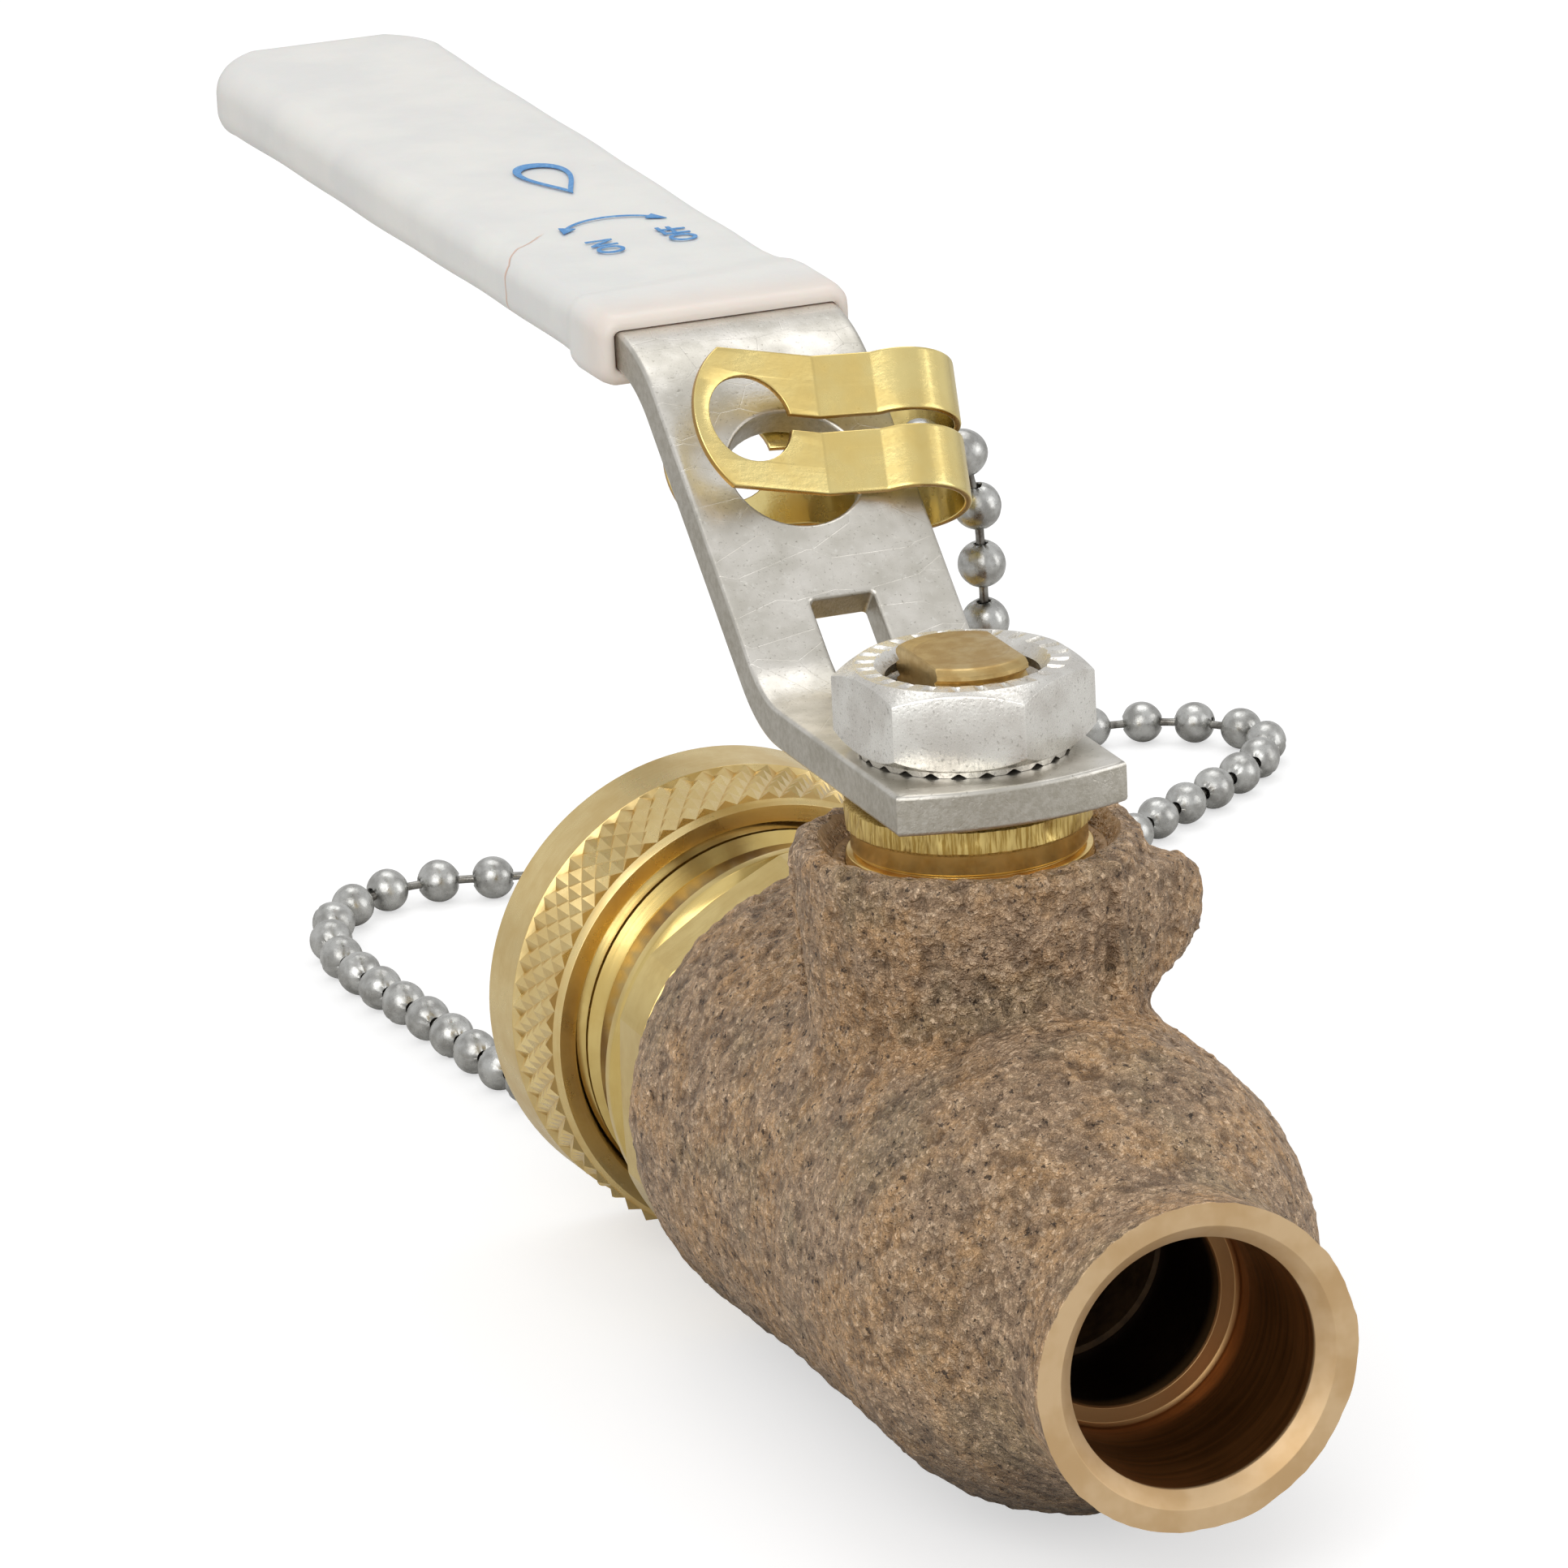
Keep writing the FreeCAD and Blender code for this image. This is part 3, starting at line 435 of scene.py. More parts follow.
# --- materials --------------------------------------------------------------------
def cast_bronze():
    """Tumbled sand-cast bronze with bare machined faces where a tool has cut it. Painted shade darkens its
    pits, its underside and its bore, and painted highlight lightens its crests.
    """
    look = Look("cast_bronze")
    relief = look.attribute("relief")
    machined = look.attribute("machined")
    warm = look.noise(5.5, 4.0, 0.6)
    olive = look.noise(8.0, 3.0, 0.6)
    clump = look.noise(1.1, 5.0, 0.85)
    grain = look.noise(0.6, 3.0, 0.75)
    crumb = look.noise(0.34, 2.0, 0.6)
    pebble = look.cells(0.6)
    speck = look.noise(0.17, 2.0, 0.6)
    cast = look.tones(warm, 0.42, 0.62, linear(190, 160, 130), linear(208, 168, 124))
    cast = look.tones(olive, 0.5, 0.66, cast, linear(170, 150, 120), 0.7)
    cast = look.tones(clump, 0.50, 0.62, cast, linear(246, 212, 172), 0.45)
    cast = look.tones(crumb, 0.54, 0.64, cast, linear(250, 222, 190), 0.6)
    cast = look.tones(pebble, 0.40, 0.66, cast, linear(104, 82, 64), 0.3)
    cast = look.tones(clump, 0.47, 0.36, cast, linear(104, 80, 62), 0.35)
    cast = look.tones(grain, 0.41, 0.34, cast, linear(50, 39, 33), 0.85)
    # painted shade in the pits of the cast relief and painted highlight on its crests
    painted_pit_shade = look.mix(1.0, cast, (0.56, 0.54, 0.53, 1), "MULTIPLY")
    painted_crest_highlight = look.mix(1.0, cast, (1.10, 1.09, 1.07, 1), "MULTIPLY")
    cast = look.tones(relief, 0.0, 0.6, painted_pit_shade, painted_crest_highlight)
    rings = look.noise(0.5, 2.0, 0.6, stretch=(0.05, 1, 0.05))
    stain = look.noise(3.0, 3.0)
    _, along, up = look.split()
    # painted shade: the casting gets darker towards its underside
    below = look.mix(1.0, cast, (0.42, 0.42, 0.42, 1), "MULTIPLY")
    cast = look.tones(up, -4.0, -13.0, cast, below)
    inside = look.spread(along, CUP_FACE_Y + CUP_CHAMFER + 0.1, CUP_FACE_Y + CUP_CHAMFER + 0.5)
    shoulder = look.spread(along, CUP_FACE_Y + CUP_DEPTH - 0.3, CUP_FACE_Y + CUP_DEPTH - 0.1)
    face_tone = look.tones(stain, 0.35, 0.7, linear(218, 188, 146), linear(204, 170, 124))
    # bore colour: the tool rings are real, and the tone is darkened as painted shade inside the cup
    bore_tone_with_painted_shade = look.tones(rings, 0.3, 0.7, linear(150, 98, 52), linear(118, 75, 38))
    cut = look.mix(inside, face_tone, look.mix(shoulder, bore_tone_with_painted_shade, linear(178, 142, 96)))
    # painted shade: darker still deep past the cup's shoulder
    deep_bore_shade = look.spread(along, CUP_FACE_Y + CUP_DEPTH + 0.4, CUP_FACE_Y + CUP_DEPTH + 1.5)
    cut = look.mix(deep_bore_shade, cut, linear(60, 44, 32))
    outlet = look.spread(along, BARREL_END_Y - 0.5, BARREL_END_Y - 0.3)
    cut = look.mix(outlet, cut, face_tone)
    mouth = look.spread(up, 20.0, 21.0)
    cut = look.mix(mouth, cut, look.tones(stain, 0.35, 0.7, linear(192, 164, 132), linear(174, 144, 112)))
    colour = look.mix(machined, cast, cut)
    cast_rough = look.spread(grain, 0.3, 0.7, 0.55, 0.40)
    face_rough = look.mix(inside, (0.5, 0.5, 0.5, 1), look.spread(stain, 0.3, 0.7, 0.32, 0.42))
    cut_rough = look.mix(mouth, face_rough, (0.6, 0.6, 0.6, 1))
    roughness = look.mix(machined, cast_rough, cut_rough)
    cast_metal = look.spread(speck, 0.45, 0.65, 0.15, 0.65)
    cut_metal = look.mix(inside, (0.62, 0.62, 0.62, 1), (0.85, 0.85, 0.85, 1))
    cut_metal = look.mix(mouth, cut_metal, (0.35, 0.35, 0.35, 1))
    metallic = look.mix(machined, cast_metal, cut_metal)
    sharp = look.math("ADD", look.spread(grain, 0.34, 0.66), look.spread(crumb, 0.36, 0.64, 0.0, 0.7))
    sharp = look.math("ADD", sharp, look.math("MULTIPLY", speck, 0.5))
    sharp = look.math("SUBTRACT", sharp, look.spread(pebble, 0.1, 0.7, 0.0, 1.1))
    look.bump(look.math("MULTIPLY", sharp, look.math("SUBTRACT", 1.0, machined)), 0.24)
    look.bump(look.math("MULTIPLY", rings, machined), 0.014)
    return look.finish(colour, roughness, metallic)


def turned_brass(name, light, dark, roughness, marks=0.006, groove=None):
    """Lathe-turned brass: fine rings across the axis and soft stains, plus a painted dark reflection band
    along a groove when one is given.
    """
    look = Look(name)
    rings = look.noise(0.22, 3.0, 0.65, stretch=(0.03, 1, 0.03))
    stain = look.noise(2.6, 4.0, 0.6)
    broad = look.noise(9.0, 2.0)
    colour = look.tones(stain, 0.3, 0.72, light, dark, 0.6)
    colour = look.tones(rings, 0.45, 0.8, colour, dark, 0.35)
    colour = look.tones(broad, 0.4, 0.7, colour, dark, 0.3)
    rough = look.spread(stain, 0.3, 0.7, roughness * 0.85, roughness * 1.2)
    look.bump(rings, marks)
    swirl = look.add("ShaderNodeTexNoise", {"W": radius_from(look, "Y"), "Scale": 3.5, "Detail": 2.0},
                     noise_dimensions="1D").outputs["Fac"]
    look.bump(swirl, marks)
    # painted reflection: a patchy dark band across the groove
    if groove:
        along = look.split()[1]
        share = look.math("MULTIPLY", look.spread(along, groove[0] - 0.1, groove[0]),
                          look.spread(along, groove[1] + 0.1, groove[1]))
        share = look.math("MULTIPLY", share, look.spread(look.noise(7.0, 1.0), 0.62, 0.45, 0.35, 0.9))
        colour = look.mix(share, colour, linear(104, 70, 30))
    return look.finish(colour, rough, 1.0)


def gland_brass():
    """Gland brass: upright tool marks round the serrated head, polished below it."""
    look = Look("gland_brass")
    _, _, up = look.split()
    head = look.spread(up, GLAND_HIGH.z - 1.75, GLAND_HIGH.z - 1.65)
    marks = look.noise(0.2, 3.0, 0.7, stretch=(1, 1, 0.06))
    stain = look.noise(1.6, 4.0, 0.6)
    smooth = look.tones(stain, 0.35, 0.7, linear(244, 214, 138), linear(222, 186, 106))
    combed = look.tones(marks, 0.36, 0.6, linear(176, 144, 72), linear(228, 202, 128))
    colour = look.mix(head, smooth, combed)
    look.bump(look.math("MULTIPLY", marks, head), 0.05)
    look.bump(look.noise(0.3, 2.0, 0.6, stretch=(0.03, 0.03, 1)), 0.005)
    rough = look.mix(head, (0.22, 0.22, 0.22, 1), look.spread(marks, 0.3, 0.7, 0.5, 0.34))
    return look.finish(colour, rough, 0.85)


def stainless():
    """Tumbled stainless strip: slow waves, faint streaks and scratches, duller pitted edges."""
    look = Look("lever_steel")
    edge = look.attribute("cut_edge")
    broad = look.noise(5.0, 3.0, 0.6)
    fine = look.noise(0.5, 4.0, 0.7)
    pits = look.noise(0.22, 3.0, 0.65)
    streak = look.noise(0.6, 3.0, 0.6, stretch=(1.0, 0.12, 0.12))
    colour = look.tones(broad, 0.35, 0.65, linear(228, 224, 216), linear(198, 194, 184))
    colour = look.tones(fine, 0.56, 0.72, colour, linear(234, 232, 226), 0.5)
    colour = look.tones(pits, 0.4, 0.28, colour, linear(136, 130, 118), 0.6)
    edge_tone = look.tones(fine, 0.35, 0.65, linear(192, 187, 176), linear(170, 164, 150))
    colour = look.mix(look.math("MULTIPLY", edge, 0.8), colour, edge_tone)
    scratch = look.cells(2.6, "DISTANCE_TO_EDGE", stretch=(0.5, 1.0, 1.0))
    rough = look.math("ADD", look.spread(broad, 0.3, 0.7, 0.30, 0.42), look.spread(fine, 0.5, 0.8, 0.0, 0.1))
    rough = look.math("ADD", rough, look.math("MULTIPLY", edge, 0.06))
    look.bump(broad, 0.05)
    look.bump(streak, 0.010)
    look.bump(pits, 0.012)
    look.bump(look.math("MULTIPLY", edge, pits), 0.03)
    look.bump(look.spread(scratch, 0.0, 0.010), 0.006)
    return look.finish(colour, rough, 1.0)


def zinc_plate():
    """Bright zinc plate over a forged nut: fine pits, faint vertical draw lines."""
    look = Look("nut_zinc")
    pits = look.noise(0.22, 3.0, 0.6)
    broad = look.noise(3.0, 2.0)
    lines = look.noise(0.35, 2.0, 0.6, stretch=(1, 1, 0.06))
    colour = look.tones(broad, 0.35, 0.65, linear(244, 242, 236), linear(224, 220, 213))
    colour = look.tones(pits, 0.56, 0.72, colour, linear(150, 146, 138), 0.6)
    rough = look.spread(pits, 0.3, 0.75, 0.24, 0.42)
    look.bump(pits, 0.022)
    look.bump(lines, 0.012)
    return look.finish(colour, rough, 1.0)


def milled_stem():
    """Stem brass: soft stains, and rings about the axis that show on the end face."""
    look = Look("stem_brass")
    radius = radius_from(look, "Z")
    swirl = look.add("ShaderNodeTexNoise", {"W": radius, "Scale": 2.6, "Detail": 3.0},
                     noise_dimensions="1D").outputs["Fac"]
    stain = look.noise(1.4, 4.0)
    colour = look.tones(stain, 0.35, 0.65, linear(200, 174, 120), linear(180, 150, 96))
    colour = look.tones(swirl, 0.5, 0.8, colour, linear(158, 122, 74), 0.4)
    look.bump(swirl, 0.02)
    look.bump(look.noise(0.3, 3.0, 0.6), 0.01)
    return look.finish(colour, look.spread(stain, 0.3, 0.7, 0.32, 0.48), 1.0)


def sheet_brass():
    """Rolled strip brass: fine rolling lines, handling smudges, darker stamped edges."""
    look = Look("clip_brass")
    edge = look.attribute("cut_edge")
    fine = look.noise(0.5, 4.0, 0.7)
    broad = look.noise(4.0, 3.0)
    colour = look.tones(broad, 0.35, 0.7, linear(242, 222, 152), linear(228, 202, 128))
    colour = look.tones(fine, 0.62, 0.80, colour, linear(176, 146, 78), 0.35)
    colour = look.mix(look.math("MULTIPLY", edge, 0.8), colour, linear(176, 128, 56))
    rough = look.math("ADD", look.spread(broad, 0.3, 0.7, 0.2, 0.32), look.spread(fine, 0.5, 0.8, 0.0, 0.12))
    look.bump(fine, 0.01)
    look.bump(look.noise(0.3, 2.0, 0.6, stretch=(0.08, 1, 1)), 0.006)
    return look.finish(colour, rough, 1.0)


def chain_steel(name, light, dark):
    """Nickel-plated steel: cloudy, slightly uneven plating."""
    look = Look(name)
    broad = look.noise(1.3, 3.0, 0.6)
    fine = look.noise(0.3, 3.0, 0.6)
    colour = look.tones(broad, 0.35, 0.7, light, dark)
    rough = look.spread(fine, 0.3, 0.7, 0.24, 0.4)
    look.bump(broad, 0.05)
    look.bump(fine, 0.014)
    return look.finish(colour, rough, 1.0)


def dipped_vinyl():
    """Off-white dipped vinyl with a satin skin, faint dirt and a hair-thin flow line."""
    look = Look("grip_vinyl")
    cloud = look.noise(9.0, 3.0)
    dirt = look.noise(1.1, 5.0, 0.65)
    across, along, _ = look.split()
    mouth = look.spread(along, GRIP_LOW.y + 6.0, GRIP_LOW.y)
    colour = look.tones(cloud, 0.35, 0.7, linear(233, 231, 226), linear(225, 224, 221))
    colour = look.mix(look.math("MULTIPLY", mouth, 0.55), colour, linear(226, 208, 194))
    colour = look.tones(dirt, 0.68, 0.8, colour, linear(198, 172, 142), 0.35)
    reach = look.math("MAXIMUM", look.math("ADD", across, LEVER_HALF + 0.5), 0.0)
    wander = look.math("MULTIPLY_ADD", look.noise(4.0, 2.0), 1.6, GRIP_LOW.y + 19.2)
    line = look.math("MULTIPLY_ADD", reach, 1.1, wander)
    off_line = look.math("ABSOLUTE", look.math("SUBTRACT", along, line))
    near = look.math("MULTIPLY", look.spread(off_line, 0.16, 0.04), look.spread(reach, 4.4, 3.2))
    colour = look.mix(look.math("MULTIPLY", near, 0.8), colour, linear(214, 172, 148))
    look.bump(near, -0.05)
    look.bump(look.noise(1.6, 3.0), 0.03)
    look.bump(look.noise(0.25, 2.0), 0.006)
    return look.finish(colour, look.spread(dirt, 0.3, 0.7, 0.38, 0.5), 0.0,
                       Subsurface_Weight=0.1, Subsurface_Scale=0.002, Coat_Weight=0.06)


def print_ink():
    """Blue pad print, thinner and paler where it has rubbed."""
    look = Look("print_ink")
    wear = look.noise(0.3, 3.0, 0.7)
    colour = look.tones(wear, 0.4, 0.75, linear(72, 138, 200), linear(128, 178, 220))
    look.bump(wear, 0.01)
    return look.finish(colour, look.spread(wear, 0.3, 0.7, 0.5, 0.65), 0.0)


def soft_part(name, light, dark, size, roughness):
    """Moulded seal or rubber: cloudy colour and a fine moulded grain."""
    look = Look(name)
    cloud = look.noise(size, 4.0, 0.6)
    colour = look.tones(cloud, 0.35, 0.7, light, dark)
    look.bump(look.noise(0.3, 3.0, 0.6), 0.02)
    return look.finish(colour, look.spread(cloud, 0.3, 0.7, roughness, roughness + 0.15), 0.0)


# --- casting ----------------------------------------------------------------------
def barrel_radius(along):
    """Radius of the cast skin along the flow line."""
    knots = [(-37.0, 10.45), (-34.4, 10.4), (-33.0, 10.2), (-31.0, 10.0), (-28.6, 10.15), (-26.6, 10.95),
             (-23.8, 12.7), (-20.0, 14.35), (-16.8, 15.3), (-14.5, 15.45), (-6.0, 15.35), (4.0, 15.4),
             (15.0, 15.75), (20.5, 15.95), (23.2, 15.5), (24.0, 15.1), (27.0, 14.0)]
    where, radii = np.array(knots).T
    fine = np.linspace(where[0], where[-1], 700)
    coarse = np.interp(fine, where, radii)
    window = np.hanning(25)
    smooth = np.convolve(np.pad(coarse, 12, "edge"), window / window.sum(), "valid")
    return np.interp(along, fine, smooth)


def smooth_min(first, second, reach):
    """Smaller of two distances, rounded over where they are within reach of each other."""
    blend = np.clip(0.5 + 0.5 * (second - first) / reach, 0, 1)
    return second * (1 - blend) + first * blend - reach * blend * (1 - blend)


def smooth_max(first, second, reach):
    return -smooth_min(-first, -second, reach)


def lug_distance(out, across, up):
    """Distance to a wedge-shaped stop lug that stands out along the first direction."""
    depth = LUG_FACE - across
    front = 0.57 * out - 0.82 * across - 11.42
    top = (up - (BOSS_TOP_Z - 1.55) + 0.235 * (out - 9.6)) * 0.97
    nose = (out - LUG_REACH + 0.36 * depth) * 0.93
    shoulder = (out - 14.15) * 0.80 + (up - 21.0) * 0.60 + 0.25 * depth
    low = (out - 14.75) * 0.62 - (up - 16.5) * 0.72 + 0.40 * depth
    side = smooth_max(smooth_max(smooth_max(top, nose, 0.9), shoulder, 0.9), low * 0.93, 0.9)
    return smooth_max(smooth_max(side, smooth_max(front, -depth, 0.9), 0.9), 5.8 - out, 0.5)


def cast_relief(points):
    """Sand texture of the skin in -1..1: clumps, grains and sharp little creases."""
    clump = noise(points, 1.1, 3)
    grain = noise(points, 0.55, 5)
    crease = 1 - 2 * np.abs(noise(points, 0.8, 8))
    return 0.30 * clump + 0.44 * grain - 0.26 * crease


def cast_distance(points):
    """Signed distance to the rough casting before any machining."""
    x, y, z = points[..., 0], points[..., 1], points[..., 2]
    radius = np.sqrt(x * x + z * z)
    skin = (radius - barrel_radius(y)) * 0.93
    skin = smooth_max(skin, y - BARREL_END_Y - 1.0, 0.3)
    stem_radius = np.sqrt(x * x + y * y)
    boss_r = np.interp(z, [10.5, 20.5, 30.0], [BOSS_R - 0.75, BOSS_R, BOSS_R])
    boss = smooth_max(stem_radius - boss_r, z - BOSS_TOP_Z, 1.1)
    boss = smooth_max(boss, -z, 0.5)
    lugs = smooth_min(lug_distance(x, y, z), lug_distance(y, x, z), 0.2)
    whole = smooth_min(smooth_min(skin, boss, 2.1), lugs, 0.9)
    uneven = 0.14 * noise(points, 7.0, 21) + 0.07 * noise(points, 3.0, 22)
    neck = np.clip((-26.0 - y) / 3.0, 0, 1)
    strength = 0.25 * (1 - 0.6 * neck) + 0.13 * np.clip((z - 10.0) / 4.0, 0, 1)
    return whole - uneven * 0.8 - strength * cast_relief(points)


def cast_skin():
    """Outer skin of the casting, meshed from its distance field."""
    low = np.array([-17.0, CUP_FACE_Y - 1.6, -17.0])
    high = np.array([BODY_HIGH.x + 1.2, BARREL_END_Y + 1.6, BOSS_TOP_Z + 1.0])
    counts = np.ceil((high - low) / VOXEL).astype(int)
    field = np.empty(counts, np.float32)
    y = low[1] + np.arange(counts[1]) * VOXEL
    z = low[2] + np.arange(counts[2]) * VOXEL
    for i in range(counts[0]):
        layer = np.empty((counts[1], counts[2], 3))
        layer[..., 0] = low[0] + i * VOXEL
        layer[..., 1] = y[:, None]
        layer[..., 2] = z[None, :]
        field[i] = cast_distance(layer)
    field[:, 0, :] = np.maximum(field[:, 0, :], 0.5)
    field[:, -1, :] = np.maximum(field[:, -1, :], 0.5)
    grid = openvdb.FloatGrid(3.0)
    grid.copyFromArray(np.clip(field, -3, 3))
    points, triangles, quads = grid.convertToPolygons(isovalue=0.0, adaptivity=0.0)
    return low + points * VOXEL, triangles.tolist() + quads.tolist()


def flow_cutter():
    """What the lathe removes along the flow line, both end faces included."""
    cup_end = CUP_FACE_Y + CUP_DEPTH
    outline = soften([
        (CUP_FACE_Y - 6, 26, 0), (CUP_FACE_Y, 26, 0), (CUP_FACE_Y, CUP_R + CUP_CHAMFER + 0.15, 0.12),
        (CUP_FACE_Y + CUP_CHAMFER + 0.1, CUP_R, 0.12), (cup_end - 0.25, CUP_R, 0.1),
        (cup_end, CUP_R - 0.25, 0.1), (cup_end, WATERWAY_R - 0.1, 0.06),
        (cup_end + 0.15, WATERWAY_R - 0.22, 0.05),
        (cup_end + 1.5, WATERWAY_R - 0.22, 0.2), (cup_end + 1.8, WATERWAY_R, 0.1),
        (-CHAMBER_HALF, WATERWAY_R, 0), (-CHAMBER_HALF, CHAMBER_R, 0), (CHAMBER_HALF, CHAMBER_R, 0),
        (CHAMBER_HALF, THREAD_BORE_R, 0), (BARREL_END_Y, THREAD_BORE_R, 0), (BARREL_END_Y, 26, 0),
        (BARREL_END_Y + 6, 26, 0)], closed=False)
    return turned(outline, 240, closed=False)


def stem_cutter():
    """What is bored along the stem axis, with the wide mouth for the gland."""
    packing_r = 6.92
    gland_r = 7.82
    outline = soften([
        (6.0, 5.7, 0), (13.0, 5.7, 0), (13.0, 4.7, 0), (16.0, 4.7, 0), (16.0, packing_r, 0),
        (19.5, packing_r, 0), (19.5, gland_r, 0), (BOSS_TOP_Z - 1.5, gland_r, 0.1),
        (BOSS_TOP_Z - 1.2, 8.6, 0.3), (BOSS_TOP_Z, 9.45, 0), (BOSS_TOP_Z + 3, 11.7, 0)], closed=False)
    return turned(outline, 200, axis="Z", closed=False)


def cut_away(piece, cutter_shell, name):
    """Boolean cut with a helper solid that is removed afterwards."""
    cutter = make_piece(name, cutter_shell, weighted=False)
    cut = piece.modifiers.new(name, "BOOLEAN")
    cut.operation = "DIFFERENCE"
    cut.solver = "MANIFOLD"
    cut.object = cutter
    done = evaluated(piece)
    piece.modifiers.clear()
    piece.data = done
    bpy.data.objects.remove(cutter)


def machined_share(points):
    """1 where a tool has cut the casting, 0 on the cast skin."""
    x, y, z = points.T
    flow_r = np.hypot(x, z)
    stem_r = np.hypot(x, y)
    ends = (y < CUP_FACE_Y + 0.02) | (y > BARREL_END_Y - 0.02)
    in_flow = flow_r < np.where(y > CHAMBER_HALF, THREAD_BORE_R, CHAMBER_R) + 0.02
    in_flow &= (y > -CHAMBER_HALF) | (flow_r < CUP_R + CUP_CHAMFER + 0.4)
    mouth = 9.45 + (z - BOSS_TOP_Z) * 0.75
    in_stem = (z > 5) & (stem_r < np.where(z > BOSS_TOP_Z - 1.45, mouth + 0.03, 7.85))
    return (ends | in_flow | in_stem).astype(float)


def body_piece():
    piece = make_piece("body_casting_skin", cast_skin(), 60, weighted=False)
    cut_away(piece, flow_cutter(), "flow_cutter")
    cut_away(piece, stem_cutter(), "stem_cutter")
    mesh = piece.data
    mesh.shade_smooth()
    mesh.set_sharp_from_angle(angle=math.radians(50))
    points = mesh_points(mesh)
    store(mesh, "relief", 0.5 + 0.75 * cast_relief(points))
    store(mesh, "machined", machined_share(points))
    return dress(piece, cast_bronze(), "valve_body", ["body_casting"])


# --- outlet cap, retainer and rivet -----------------------------------------------
def thread_ridge(root_r, crest_r, start, end, phase):
    """One right-hand thread ridge wound about the flow line, faded out at both ends."""
    turns = (end - start) / HOSE_PITCH
    count = int(turns * 90)
    rows = []
    for i in range(count + 1):
        angle = TAU * turns * i / count + phase
        fade = min(1.0, i / 50, (count - i) / 50)
        middle = start + HOSE_PITCH * turns * i / count
        height = (crest_r - root_r) * max(fade, 0.02)
        inner = root_r - math.copysign(0.15, crest_r - root_r)
        section = [(-0.36, inner), (-0.30, root_r), (-0.09, root_r + height), (0.09, root_r + height),
                   (0.30, root_r), (0.36, inner)]
        rows.append([(r * math.sin(angle), middle + share * HOSE_PITCH, r * math.cos(angle))
                     for share, r in section])
    return wrapped_shell(rows, closed=False)


def knurl_rows(start, end, rows, columns, low_r, high_r):
    """Rows whose points alternate between groove crossings and pyramid tips."""
    profile = []
    for i in range(rows + 1):
        tip = (np.arange(columns) + i) % 2
        profile.append((start + (end - start) * i / rows, low_r + (high_r - low_r) * tip))
    return profile


def groove_triangles(faces, points, columns, first_row, rows, low_r):
    """Splits the knurl's quads along the grooves."""
    radius = np.hypot(points[:, 0], points[:, 2])
    first, last = first_row * columns, (first_row + rows) * columns
    result = []
    for face in faces:
        if first <= face[0] < last and max(face) < last + columns:
            turn = 0 if radius[face[0]] < low_r + 0.05 else 1
            a, b, c, d = face[turn:] + face[:turn]
            result += [[a, b, c], [a, c, d]]
        else:
            result.append(face)
    return result


def cap_piece():
    """Knurled cap: rim, diamond pyramids, plain band, end face and threaded inside."""
    knurls = 64
    knurl_count = 5
    columns = 2 * knurls
    rim_y, end_y = CAP_LOW.y, CAP_HIGH.y
    wall_y = end_y - 2.0
    knurl_start, knurl_end = rim_y + 0.45, end_y - 5.0
    root_r, tip_r = CAP_R - 0.66, CAP_R - 0.16
    inside = soften([
        (wall_y + 1.0, 1.66, 0), (wall_y, 1.66, 0), (wall_y, CAP_ROOT_R, 0.3), (rim_y + 1.0, CAP_ROOT_R, 0.2),
        (rim_y + 0.35, 13.8, 0.2), (rim_y, 13.85, 0.08), (rim_y, root_r - 0.35, 0.06),
        (knurl_start, root_r, 0)], closed=False)
    outside = soften([
        (knurl_end, root_r, 0), (knurl_end + 0.18, CAP_R - 0.17, 0.08), (end_y - 0.55, CAP_R, 0.25),
        (end_y, CAP_R - 0.55, 0.25), (end_y, 5.6, 0.3), (end_y - 0.12, 5.2, 0.3), (end_y - 0.12, 1.66, 0)],
        closed=False)
    knurl = knurl_rows(knurl_start + 0.02, knurl_end - 0.05, knurl_count, columns, root_r, tip_r)
    points, faces = turned(inside + knurl + outside[1:], columns)
    faces = groove_triangles(faces, points, columns, len(inside), knurl_count, root_r)
    ridge = thread_ridge(CAP_ROOT_R, CAP_CREST_R, rim_y + 1.6, wall_y - 2.6, math.pi)
    piece = make_piece("hose_cap_knurled", joined([(points, faces), ridge]), 25)
    brass = turned_brass("cap_brass", linear(240, 216, 156), linear(220, 188, 122), 0.3)
    return dress(piece, brass, "cap", ["hose_cap"])


def hex_radius(across_flats, columns, first_corner=0.0):
    """Distance to a hexagon's sides for each column, corners at multiples of 60 degrees."""
    angle = np.arange(columns) * TAU / columns - first_corner
    folded = np.mod(angle + math.pi / 6, math.pi / 3) - math.pi / 6
    return across_flats / 2 / np.cos(math.pi / 6 - np.abs(folded))


